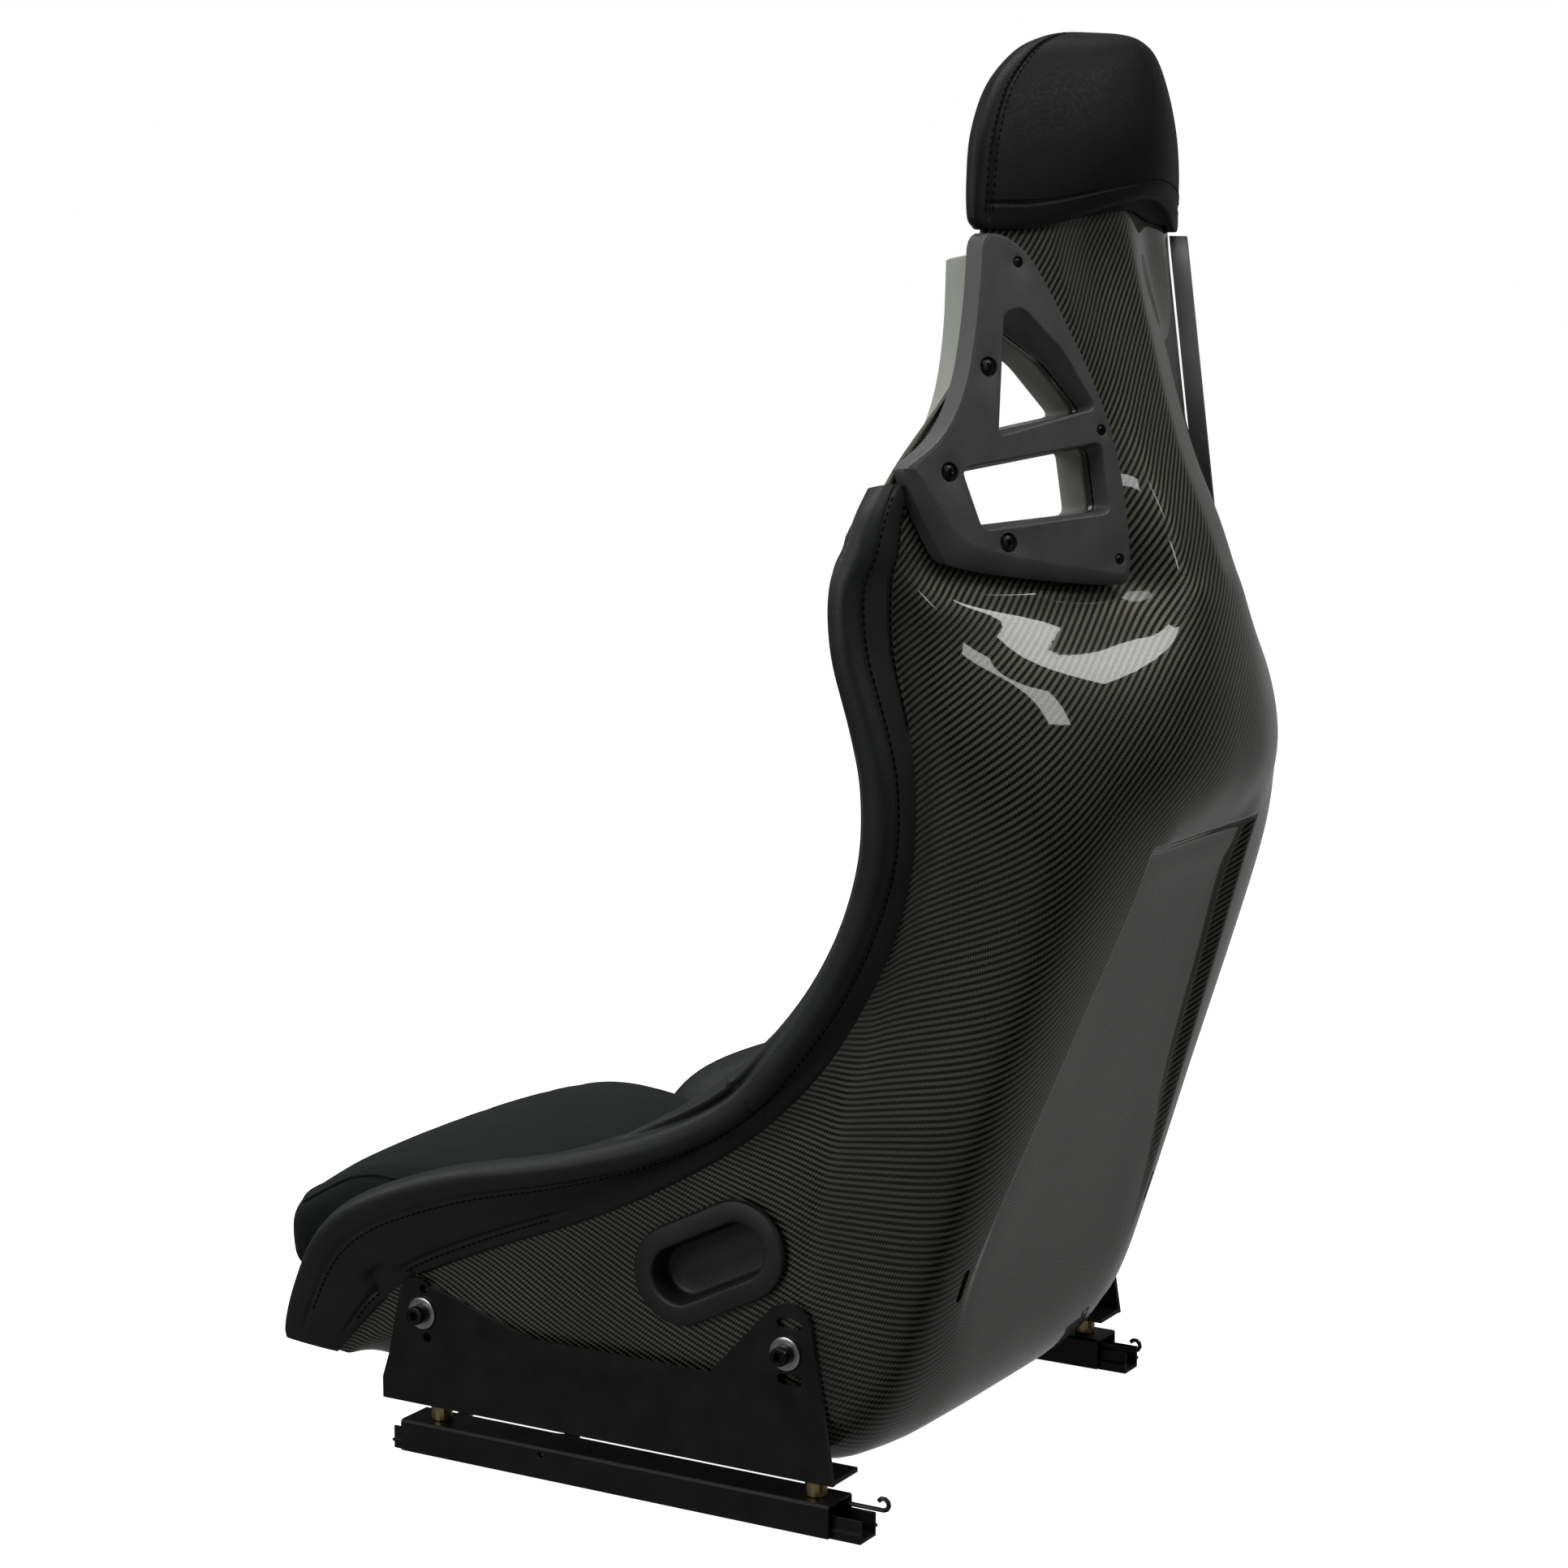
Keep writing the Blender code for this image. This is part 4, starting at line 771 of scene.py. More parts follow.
def stitches(points, normals):
    """Row of small sunken stitches along a path on a surface."""
    points = np.asarray(points, float)
    walked = np.concatenate([[0], np.cumsum(np.linalg.norm(np.diff(points, axis=0), axis=1))])
    at = np.arange(STITCH_GAP, walked[-1] - STITCH_GAP / 2, STITCH_GAP)

    def along_path(values, places):
        return np.stack([np.interp(places, walked, values[:, k]) for k in range(3)], 1)

    centres = along_path(points, at)
    outs = unit(along_path(normals, at))
    alongs = unit(along_path(points, at + 0.001) - centres)
    corners = circle(6, STITCH_RADIUS)
    verts, faces = [], []
    for centre, along, out, wide in zip(centres, alongs, outs, unit(np.cross(outs, alongs))):
        starts = [len(verts) + 6 * r for r in range(len(STITCH_RINGS))]
        for t, size in STITCH_RINGS:
            middle = centre + along * (t * STITCH_LENGTH / 2)
            verts += [middle + (a * out + b * wide) * size for a, b in corners]
        faces += [[start + k for k in range(6)] for start in (starts[0], starts[-1])]
        faces += ring_faces(6, starts)
    return mesh_from("stitches", verts, faces, 70.0)


# Seams of the leather along the shell's edge: column, first and last row.
EDGE_SEAM = (5.86, 0.3, 15.4)
SHOULDER_SEAM = (5.13, 10.9, 15.3)
FRONT_SEAM = (5.22, 0.4, 2.7)
CROSS_SEAM_ROW = 5.15
SEAM_DEPTH = 0.0014
SEAM_WIDTH = 0.040                      # in columns
STITCH_SHIFT = 0.055                    # of the stitches from their seam, in columns
CROSS_SEAM_WIDTH = 0.035                # in rows
BOLSTER_SECTION = [
    # column, share of the padding's depth, offset, length past the rim
    (SEAM + 0.02, 0.70, 0.0, 0.0), (SEAM + 0.30, 0.96, 0.0, 0.0), (SEAM + 0.60, 1.00, 0.0, 0.0),
    (RIM, 0.62, 0.0, 0.0045), (RIM, 0.0, -0.0075, 0.0092), (RIM, 0.0, 0.0015, 0.0068),
    (RIM - 0.10, 0.0, 0.0048, 0.0), (SEAM + 0.60, 0.0, 0.0055, 0.0), (SEAM + 0.30, 0.0, 0.0050, 0.0),
    (SEAM + 0.04, 0.0, 0.0034, 0.0),
]
# (y, z) spans where the side mount's front tab lies on the leather.
TAB_BOX = ((-0.177, -0.128), (0.086, 0.1305))
TAB_REACH = 0.2158
BOLSTER_SLOT_POINTS = 8                 # points of the section at its lip and in the slot for the laminate


def bolster_profile():
    """Fine section of the leather, as columns, padding shares, offsets and lengths past the rim."""
    count = len(BOLSTER_SECTION)
    values = fine_range(0, count - 1, 0.14, [(5.6, 6.9, 0.035), (7.9, count - 1, 0.05)])
    fine = spline_weights(count, values) @ np.array(BOLSTER_SECTION)
    lip = fine[-1]
    edge = [(lip[0] - 0.035, 0, 0.0022, 0), (lip[0] - 0.055, 0, LEATHER_GAP, 0)]
    slot = [
        (SEAM + 0.5, 0, LEATHER_GAP, 0), (RIM, 0, LEATHER_GAP, 0.0008),
        (RIM, 0, -SHELL_THICK - LEATHER_GAP, 0.0008), (SEAM + 0.5, 0, -SHELL_THICK - LEATHER_GAP, 0),
        (SEAM, 0, -SHELL_THICK - LEATHER_GAP, 0), (SEAM - 0.03, 0.25, -SHELL_THICK * 0.8, 0),
    ]
    return np.vstack([fine, edge, slot])


def seam_depth(columns, rows):
    """How far the seams draw the leather in."""
    depth = np.zeros(np.broadcast(columns, rows).shape)
    for column, first, last in (EDGE_SEAM, SHOULDER_SEAM, FRONT_SEAM):
        ends = smoothstep(first - 0.25, first, rows) * (1 - smoothstep(last, last + 0.25, rows))
        depth = depth + np.exp(-((columns - column) / SEAM_WIDTH) ** 2) * ends
    return depth * SEAM_DEPTH + np.exp(-((rows - CROSS_SEAM_ROW) / CROSS_SEAM_WIDTH) ** 2) * SEAM_DEPTH * 0.9


def pressed(points, side):
    """Leather pressed flat behind the side mount's front tab."""
    (y0, y1), (z0, z1) = TAB_BOX
    y, z = points[..., 1], points[..., 2]
    away = np.maximum.reduce([y0 - y, y - y1, z0 - z, z - z1, np.zeros_like(y)])
    limit = TAB_REACH + away * 3.0
    moved = points.copy()
    moved[..., 0] = np.where(points[..., 0] * side > limit, limit * side, points[..., 0])
    return moved


def make_bolster(side, suffix):
    profile = bolster_profile()
    rows = fine_range(0, SHOULDER, 0.09, [(0, 0.42, 0.035), (4.95, 5.35, 0.02), (14.8, SHOULDER, 0.05)])
    tip = 0.30 + 0.70 * np.sqrt(1 - (1 - np.clip(rows / 0.38, 0, 1)) ** 2)      # round of the front end
    full = np.minimum(1.0, np.minimum((rows + 0.6) / 1.4, (SHOULDER - rows + 0.8) / 2.0))
    pad = (-SHELL_THICK - BOLSTER_PAD * full * tip)[:, None]
    rows, tip = rows[:, None], tip[:, None]
    columns, shares, offsets, pasts = (profile[:, k][None, :] for k in range(4))
    skin = np.arange(len(profile))[None, :] < len(profile) - BOLSTER_SLOT_POINTS
    outside = skin & (offsets > 0)
    spare = np.maximum(offsets - 2 * LEATHER_GAP, 0) * outside
    offset = shares * pad + offsets - seam_depth(columns, rows) * outside - spare * (1 - tip)
    pasts = pasts - np.maximum(pasts - 3 * LEATHER_GAP, 0) * skin * (1 - tip)
    us, vs, pasts = (np.broadcast_to(values, offset.shape) for values in (columns * side, rows, pasts))
    points = pressed(shell_points(us, vs, offset, pasts)[0], side)
    bolster = add_piece(f"leather_edge_{suffix}", loft("leather_edge", list(points), 60.0), "leather",
                        replaces=[f"side_bolster_{suffix}"])
    foot = [(0.14 + (x - 0.14) * 1.012, 0.70 + (z - 0.70) * 1.012) for x, z in worn_corners(COVER_FOOT)]
    cut(bolster, wing_prism(foot, side, -WING_RISE, 0.02), 60.0)
    runs = []
    for column, first, last in (EDGE_SEAM, SHOULDER_SEAM, FRONT_SEAM):
        vs = np.arange(first, last, 0.03)
        level = np.interp(column - STITCH_SHIFT, *surface_level())
        line, out, _ = shell_points(np.full_like(vs, (column - STITCH_SHIFT) * side), vs, level + 0.0001)
        runs.append(stitches(pressed(line, side), out))
    add_piece(f"leather_stitches_{suffix}", joined(runs), "thread")
    return bolster


def surface_level():
    """Columns and offsets of the leather's outer face."""
    outside = BOLSTER_SECTION[:5:-1]
    return [row[0] for row in outside], [row[2] for row in outside]


# Half of a level section of the headrest, from the middle of its back round the side to the middle of its
# front: share of the half width, share of the depth.
HEADREST_SECTION = [
    (0, 0), (0.36, 0.10), (0.70, 0.29), (0.91, 0.42), (1.0, 0.50), (0.94, 0.59), (0.76, 0.71),
    (0.50, 0.85), (0.25, 0.95), (0, 1.0),
]
# Height, half width, back, front, and how far the lower edge rises in the middle of the back.
HEADREST_RINGS = metres([
    (840.5, 143.5, 287, 204, 20), (840, 146.2, 290.5, 200.3, 20), (841.5, 149, 293.5, 197, 19.5),
    (848, 151.5, 297, 190.5, 18), (870, 148, 301, 184.5, 10), (900, 139, 301, 182.5, 4),
    (930, 120, 297, 188.5, 0), (952, 92, 290.5, 203, 0), (962, 64, 281.5, 220, 0), (965.7, 36, 270, 236, 0),
    (966, 12, 259, 247, 0),
])
HEADREST_SIDE_SEAM = 3.25               # place of the side seam in the section
HEADREST_HEM = 3.42                     # ring of the hem's stitches


def headrest_grid(ring_values, around):
    section = HEADREST_SECTION + [(-x, d) for x, d in HEADREST_SECTION[-2:0:-1]]
    wrapped = np.array(section[-3:] + section + section[:3])
    across = spline_weights(len(wrapped), np.asarray(around) + 3) @ wrapped
    rings = spline_weights(len(HEADREST_RINGS), ring_values) @ np.array(HEADREST_RINGS)
    z, half, back, front, arch = (rings[:, k][:, None] for k in range(5))
    share, depth = across[:, 0][None, :], across[:, 1][None, :]
    x = share * half
    y = back + (front - back) * depth
    lift = arch * np.maximum(0.0, 1 - 3 * depth) * (1 - share ** 2)
    return np.stack([x, y, np.broadcast_to(z, x.shape) + lift], axis=2)


def headrest_normals(ring_values, around):
    rings, turns, step = np.asarray(ring_values), np.asarray(around), 0.03
    da = headrest_grid(rings, turns + step) - headrest_grid(rings, turns - step)
    dr = headrest_grid(rings + step, turns) - headrest_grid(rings - step, turns)
    return unit(np.cross(da, dr))


def make_headrest():
    total = 2 * (len(HEADREST_SECTION) - 1)
    seams = (HEADREST_SIDE_SEAM, total - HEADREST_SIDE_SEAM)
    around = fine_range(0, total, 0.16, [(s - 0.35, s + 0.35, 0.035) for s in seams])[:-1]
    values = fine_range(0, len(HEADREST_RINGS) - 1, 0.12, [(3.2, 3.7, 0.03)])
    grid = headrest_grid(values, around)
    out = headrest_normals(values, around)
    middle = np.array([0.0, 0.24, 0.0])
    flip = np.sign(np.sum(out * (grid - middle) * np.array([1, 1, 0]), axis=2, keepdims=True).sum())
    out = out * flip
    groove = sum(np.exp(-((around - s) / 0.055) ** 2) for s in seams)[None, :]
    groove = groove * smoothstep(2.6, 3.2, values)[:, None] * (1 - smoothstep(8.6, 9.4, values))[:, None]
    back = (np.minimum(around, total - around) < HEADREST_SIDE_SEAM)[None, :]
    hem = np.exp(-((values - HEADREST_HEM) / 0.05) ** 2)[:, None] * back
    grid = grid - out * (groove * 0.0012 + hem * 0.0008)[..., None]
    headrest = add_piece("headrest_leather_painted_shade", loft("headrest_leather_painted_shade", list(grid), 60.0), "headrest_leather_painted_shade",
                         replaces=["headrest_cover"])
    core_rows = [TOP - 3.5] + list(np.arange(TOP - 3, TOP + 0.01, 0.25)) + [TOP + 0.08]
    reach = np.concatenate([[-RIM - 0.4], np.arange(-RIM + 0.25, RIM, 0.25), [RIM + 0.4]])
    faces = (shell_grid(reach, core_rows, depth) for depth in (0.0013, -SHELL_THICK - 0.0013))
    core = slab("shell_core", *faces)
    cut(headrest, core, 60.0)
    runs = []
    for seam in seams:
        for shift in (-0.13, 0.13):
            steps = np.arange(3.0, 8.6, 0.05)
            line = headrest_grid(steps, [seam + shift])[:, 0]
            facing = headrest_normals(steps, [seam + shift])[:, 0] * flip
            runs.append(stitches(line, facing))
    span = np.concatenate([np.arange(total - HEADREST_SIDE_SEAM + 0.2, total, 0.08),
                           np.arange(0, HEADREST_SIDE_SEAM - 0.2, 0.08)])
    hem_at = [HEADREST_HEM + 0.12]
    runs.append(stitches(headrest_grid(hem_at, span)[0], headrest_normals(hem_at, span)[0] * flip))
    add_piece("headrest_stitches", joined(runs), "thread")
    return headrest


# ---------------------------------------------------------------- cushions
def points_of(mesh):
    flat = np.zeros(len(mesh.vertices) * 3)
    mesh.vertices.foreach_get("co", flat)
    return flat.reshape(-1, 3)


def tree_of(pieces):
    work = bmesh.new()
    for piece in pieces:
        work.from_mesh(piece.data)
    tree = BVHTree.FromBMesh(work)
    work.free()
    return tree


CLOTH_FRAMES = 20
CLOTH = {
    "quality": 6, "mass": 0.3,
    "tension_stiffness": 20.0, "compression_stiffness": 20.0, "shear_stiffness": 8.0, "bending_stiffness": 1.5,
    "use_pressure": True, "uniform_pressure_force": 4.0,
}
VOXEL = 0.006                           # size of the cushions' even mesh before it is refined


def modified(piece, kind, **settings):
    """Runs one modifier on the piece's mesh."""
    modifier = piece.modifiers.new(kind.lower(), kind)
    for key, value in settings.items():
        setattr(modifier, key, value)
    bake(piece)


def inflate(piece, obstacles, cap):
    """Even mesh, then cloth under pressure; no point moves further than the cap or into a neighbour."""
    modified(piece, "REMESH", mode="VOXEL", voxel_size=VOXEL)
    modified(piece, "SMOOTH", iterations=4, factor=0.5)
    scene = bpy.context.scene
    start = points_of(piece.data)
    cloth = piece.modifiers.new("cloth", "CLOTH")
    for key, value in CLOTH.items():
        setattr(cloth.settings, key, value)
    cloth.settings.effector_weights.gravity = 0
    cloth.point_cache.frame_start = 1
    cloth.point_cache.frame_end = CLOTH_FRAMES
    for step in range(1, CLOTH_FRAMES + 1):
        scene.frame_set(step)
    made = bpy.data.meshes.new_from_object(piece.evaluated_get(bpy.context.evaluated_depsgraph_get()))
    moved = points_of(made) - start
    bpy.data.meshes.remove(made)
    piece.modifiers.clear()
    scene.frame_set(1)
    tree = tree_of(obstacles)
    room = np.array([tree.find_nearest(Vector(p))[3] for p in start]) - 0.0006
    length = np.maximum(np.linalg.norm(moved, axis=1), 1e-9)
    moved *= (np.minimum(length, np.clip(room, 0.0, cap)) / length)[:, None]
    piece.data.vertices.foreach_set("co", (start + moved).ravel())
    piece.data.update()
    modified(piece, "SUBSURF", render_levels=1, levels=1)
    piece.data.shade_smooth()


BEAD_RADIUS = 0.0013
BEAD_SINK = 0.3                         # share of the radius that the bead's middle stands over the cloth


def seam_bead(name, path, piece):
    """Sewn edge: a fine bead of cloth along a path, laid on the piece's surface."""
    tree = tree_of([piece])
    laid, outs = [], []
    for point in path:
        where, normal, _, _ = tree.find_nearest(Vector((point[0], point[1] - DATUM_Y, point[2])))
        laid.append(np.array(where) + np.array([0, DATUM_Y, 0]) + np.array(normal) * BEAD_RADIUS * BEAD_SINK)
        outs.append(np.array(normal))
    laid = np.array(laid)
    for _ in range(3):
        laid = (laid + (np.roll(laid, 1, axis=0) + np.roll(laid, -1, axis=0)) / 2) / 2
    along = unit(np.roll(laid, -1, axis=0) - np.roll(laid, 1, axis=0))
    wide = unit(np.cross(np.array(outs), along))
    high = np.cross(along, wide)
    rings = [[p + a * w + b * h for a, b in circle(8, BEAD_RADIUS)] for p, w, h in zip(laid, wide, high)]
    add_piece(name, loft(name, rings, 80.0, looped=True), "fabric")


PADS = {
    # first and last row, half width in columns, thickness
    "shoulder": (9.56, 12.94, 3.94, 0.033),
    "lumbar": (6.06, 8.94, 3.94, 0.037),
    "neck": (15.06, 17.94, 0.96, 0.027),
}


def make_pad(spot, obstacles):
    """Loose pad on the shell's inner face, crowned towards the sitter."""
    first, last, wide, thick = PADS[spot]
    rows = np.linspace(first, last, 31)
    columns = np.linspace(-wide, wide, 41)
    back = -SHELL_THICK - PAD_GAP - 0.0006
    span = np.linspace(-1, 1, len(rows))[:, None]
    across = np.linspace(-1, 1, len(columns))[None, :]
    dome = (1 - 0.42 * span ** 4) * (1 - 0.42 * across ** 4)
    channel = 1 - 0.10 * np.exp(-((span * 1.5) / 0.05) ** 2)
    faces = (shell_grid(columns, rows, depth) for depth in (back, back - thick * dome * channel))
    pad = add_piece(f"{spot}_pad", slab(f"{spot}_pad", *faces), "fabric", replaces=[f"{spot}_cushion"])
    inflate(pad, obstacles, 0.006)
    side = 0.93                             # how far out the seam lies, as a share of the pad's half
    run = np.linspace(-1, 1, 50)
    ring = [(side * c, -side) for c in run] + [(side, side * r) for r in run]
    ring += [(-c, -r) for c, r in ring]
    middle, half = (first + last) / 2, (last - first) / 2
    path = [shell_grid([wide * c], [middle + half * r], back - thick * 0.62)[0, 0] for c, r in ring]
    seam_bead(f"{spot}_pad_seam", path, pad)


SEAT_CUSHION_PROFILE = metres([
    (-302, 86), (-317, 100), (-318.5, 140), (-299, 155), (-240, 184), (-150, 176), (-50, 145), (50, 114),
    (130, 98), (145, 80), (140, 48), (0, 44), (-90, 47), (-160, 56), (-212, 76),
])
SEAT_CUSHION_HALF = 0.168
SEAT_SHRINK = 0.0030


SEAT_SEAM = metres([
    (-300, 154), (-270, 170), (-240, 184), (-200, 182), (-150, 176), (-100, 161), (-50, 145),
    (0, 129), (50, 114),
    (100, 104), (130, 98),
])


def make_seat_cushion(obstacles):
    """Cushion in the pan: firm nose, crowned top, sides pulled in between its corners."""
    outline = worn_corners(SEAT_CUSHION_PROFILE)
    across = np.concatenate([[-1, -0.985, -0.955], np.linspace(-0.92, 0.92, 36), [0.955, 0.985, 1]])
    half = SEAT_CUSHION_HALF - SEAT_SHRINK
    rings = []
    for share in across:
        ring = grown(outline, -SEAT_SHRINK - 0.008 * smoothstep(0.91, 1.0, abs(share)))
        crown = 0.004 * (1 - share ** 2) * smoothstep(0.09, 0.15, ring[:, 1])
        rings.append([(half * share, y, z + lift) for (y, z), lift in zip(ring, crown)])
    cushion = add_piece("seat_pad", loft("seat_pad", rings), "fabric", replaces=["seat_cushion"])
    inflate(cushion, obstacles, 0.007)
    side = spline_weights(len(SEAT_SEAM), np.linspace(0, len(SEAT_SEAM) - 1, 110)) @ np.array(SEAT_SEAM)
    ends = np.linspace(half, -half, 60)[1:-1]
    path = [(half, y, z) for y, z in side] + [(x, 0.131, 0.098) for x in ends]
    path += [(-half, y, z) for y, z in side[::-1]] + [(-x, -0.3005, 0.1545) for x in ends]
    seam_bead("seat_pad_seam", path, cushion)


# ---------------------------------------------------------------- harness guides
def within(x, z, loops):
    """Whether a point is inside an odd number of the loops."""
    inside = False
    for loop in loops:
        for k, p in enumerate(loop):
            q = loop[k - 1]
            if (p[1] > z) != (q[1] > z) and x < (q[0] - p[0]) * (z - p[1]) / (q[1] - p[1]) + p[0]:
                inside = not inside
    return inside


def fill_between(loops):
    """Triangles of the flat area between an outer loop and its holes, as indices into all the points."""
    flat = [Vector(p[:2]) for loop in loops for p in loop]
    edges, base = [], 0
    for loop in loops:
        edges += [(base + i, base + (i + 1) % len(loop)) for i in range(len(loop))]
        base += len(loop)
    verts, _, faces, origins = delaunay_2d_cdt(flat, edges, [], 0, 1e-8)[:4]
    middles = [sum((verts[i] for i in face), Vector((0, 0))) / len(face) for face in faces]
    return [[origins[i][0] for i in face] for face, at in zip(faces, middles) if within(at.x, at.y, loops)]


def plate(name, loops, side):
    """Closed plate on the harness guide's plane. Each loop is a list of rings of (x, z, height), from the face
    inwards or outwards and down; a loop that ends above the plate's foot is closed by a floor."""
    points, faces, starts = [], [], []
    foot = min(ring[0][2] for loop in loops for ring in loop) + 0.0005
    for loop in loops:
        count = len(loop[0])
        begin = [len(points) + count * r for r in range(len(loop))]
        points += [wing_point(x, z, h, side) for ring in loop for x, z, h in ring]
        faces += ring_faces(count, begin)
        starts.append((begin[0], begin[-1]))
        if loop[-1][0][2] > foot:
            faces.append([begin[-1] + i for i in range(count)])
    through = [i for i, loop in enumerate(loops) if loop[-1][0][2] <= foot]
    for chosen, end in ((range(len(loops)), 0), (through, -1)):
        shape = [loops[i][end] for i in chosen]
        index = [starts[i][end] + k for i, ring in zip(chosen, shape) for k in range(len(ring))]
        faces += [[index[k] for k in triangle] for triangle in fill_between(shape)]
    return mesh_from(name, points, faces, 30.0)


def at_height(outline, height):
    heights = np.broadcast_to(np.asarray(height, float), (len(outline),))
    return [(x, z, h) for (x, z), h in zip(np.asarray(outline)[:, :2], heights)]


# Quarter round of unit size.
EDGE_ROUND = [(1.0, 0.0), (0.62, -0.08), (0.29, -0.30), (0.08, -0.62), (0.0, -1.0)]


def rounded_edge(outline, radius, inwards=1.0, drop=0.0):
    """Rings of a rounded edge between the face and a wall down at the outline; inwards -1 is for a hole."""
    rings = [at_height(grown(outline, -inwards * (radius + 0.0004)), drop)]
    for out, down in EDGE_ROUND:
        rings.append(at_height(grown(outline, -inwards * radius * out), drop + radius * down))
    return rings


COVER_FACE = metres([
    (155, 837), (142, 838), (128, 830), (117, 816), (102, 785), (86, 750), (74, 714), (69, 670), (70, 622),
    (76, 614.5), (196, 632), (207, 643), (227.5, 694), (226, 697.5), (199, 713), (179, 742), (166.5, 782),
    (159, 815),
])
COVER_FOOT = metres([
    (157.5, 838.5), (142, 839.5), (128.5, 831.5), (118.5, 817.5), (105, 786.5), (88, 751.5), (76.5, 715),
    (75, 670), (75.5, 627), (82, 621.5), (200, 634.5), (211, 644), (229, 694), (228, 698), (201.5, 714),
    (181.5, 743), (169, 782.5), (161.5, 815.5),
])
SKIRT = [0, 0, 0, 0, 0, 0, 0, 0, 0.1, 0.7, 1, 1, 0.8, 0.1, 0, 0, 0, 0]   # share of the flare at each corner
SKIRT_WIDTH = 0.0108
SKIRT_DROP = 0.0060
WELL_TOP = metres([
    (145.5, 788.5), (132, 792), (105, 764), (85, 728.5), (158.8, 713.5),
])
HOLE_TOP = metres([
    (141.5, 779), (129, 770.5), (111, 757), (87, 727), (157, 716.5),
])
WELL_LOW = metres([
    (188, 694.5), (83.5, 706.8), (82.2, 662.5), (177.5, 656.2),
])
SCREWS_LARGE = {"upper": (0.1610, 0.756), "outer": (0.1970, 0.6925), "lower": (0.1600, 0.6475)}
SCREWS_SMALL = metres([
    (131.5, 820), (82.3, 714.7), (78.5, 633),
])


def well(face_outline, hole_outline, foot):
    """Rings of a window: a rounded rim, walls that slope in to the hole, and the hole's own wall."""
    rings = rounded_edge(face_outline, 0.0012, -1.0)
    start, end = np.array(face_outline), np.array(hole_outline)
    for share, height in ((0.35, -0.0042), (0.8, -0.0085), (1.0, -0.0105)):
        rings.append(at_height(start + (end - start) * share, height))
    rings.append(at_height(end, foot))
    return rings


def sink(x, z, radius):
    outline = [(x + a, z + b) for a, b in circle(24, radius)]
    return rounded_edge(outline, 0.0003, -1.0)[1:] + [at_height(outline, -SCREW_SINK)]


def relaxed(outline, weight, rounds):
    """Outline evened out where the weight is high."""
    weight = np.asarray(weight)[:, None] * 0.5
    for _ in range(rounds):
        middle = (np.roll(outline, 1, axis=0) + np.roll(outline, -1, axis=0)) / 2
        outline = outline * (1 - weight) + middle * weight
    return outline


def make_wing_cover(side, suffix):
    face, foot = worn_corners(COVER_FACE), worn_corners(COVER_FOOT)
    flare = worn_corners([(s, 0) for s in SKIRT])[:, 0]
    low = -WING_RISE + 0.0016
    inset = flare * SKIRT_WIDTH
    plateau = relaxed(grown(face, -inset - 0.0018), flare, 10)
    outer = [at_height(plateau, 0.0), at_height(plateau + (face - plateau) * 0.05, 0.0)]
    for share, drop in ((0.80, 0.05), (0.55, 0.20), (0.30, 0.48), (0.12, 0.75)):
        outer.append(at_height(plateau * share + face * (1 - share), -flare * SKIRT_DROP * drop - 0.0001))
    for out, down in EDGE_ROUND[1:]:
        outer.append(at_height(grown(face, -0.0008 * out), -flare * SKIRT_DROP + 0.0010 * down - 0.0001))
    outer.append(at_height(foot, low))
    loops = [outer]
    loops.append(well(rounded(WELL_TOP, 0.005), rounded(HOLE_TOP, 0.005), low))
    loops.append(well(rounded(WELL_LOW, 0.006), rounded(WINDOW_LOW, 0.006), low))
    loops += [sink(x, z, 0.0062) for x, z in SCREWS_LARGE.values()]
    loops += [sink(x, z, 0.0036) for x, z in SCREWS_SMALL]
    add_piece(f"guide_cover_{suffix}", plate("guide_cover", loops, side), "black_plastic",
              replaces=[f"wing_cover_{suffix}"])


TRIM_OUTLINE = metres([
    (150, 833), (110, 800), (92, 762), (77, 720), (70, 650), (80, 633), (190, 643), (202, 655), (213, 686),
    (190, 708), (170, 742), (158.5, 782), (153, 815),
])


def make_wing_trim(side, suffix):
    """Front half of the harness guide, with rounded edges round its outline and windows."""
    near = -WING_RISE - SHELL_THICK - 0.0030
    loops = []
    shapes = [(worn_corners(TRIM_OUTLINE), 1.0)]
    shapes += [(np.array(rounded(w, WINDOW_ROUND)), -1.0) for w in (WINDOW_TOP, WINDOW_LOW)]
    for outline, inwards in shapes:
        top = rounded_edge(outline, 0.0018, inwards, near)
        mirrored = [[(x, z, 2 * near - WING_TRIM_DEPTH - h) for x, z, h in ring] for ring in top[::-1]]
        loops.append(top + mirrored)
    add_piece(f"guide_trim_{suffix}", plate("guide_trim", loops, side), "grey_trim",
              replaces=[f"wing_trim_{suffix}"])


def cross_head(radius, height):
    """Domed screw head with a cross recess."""
    shape = [(0, 1), (0.45, 0.97), (0.80, 0.80), (0.95, 0.50), (1, 0.15), (1, 0), (0, 0)]
    blades = []
    for c, s in ((1, 0), (0, 1)):
        rings = []
        for z, long, wide in ((height * 0.35, 0.30, 0.09), (height + 0.001, 0.62, 0.15)):
            corners = [(-long, -wide), (long, -wide), (long, wide), (-long, wide)]
            turned_to = [((a * c - b * s) * radius, (a * s + b * c) * radius) for a, b in corners]
            rings.append([(x, y + DATUM_Y, z) for x, y in turned_to])
        blades.append(loft("blade", rings))
    return carved("head", turned("head", [(r * radius, h * height) for r, h in shape], 32), blades)


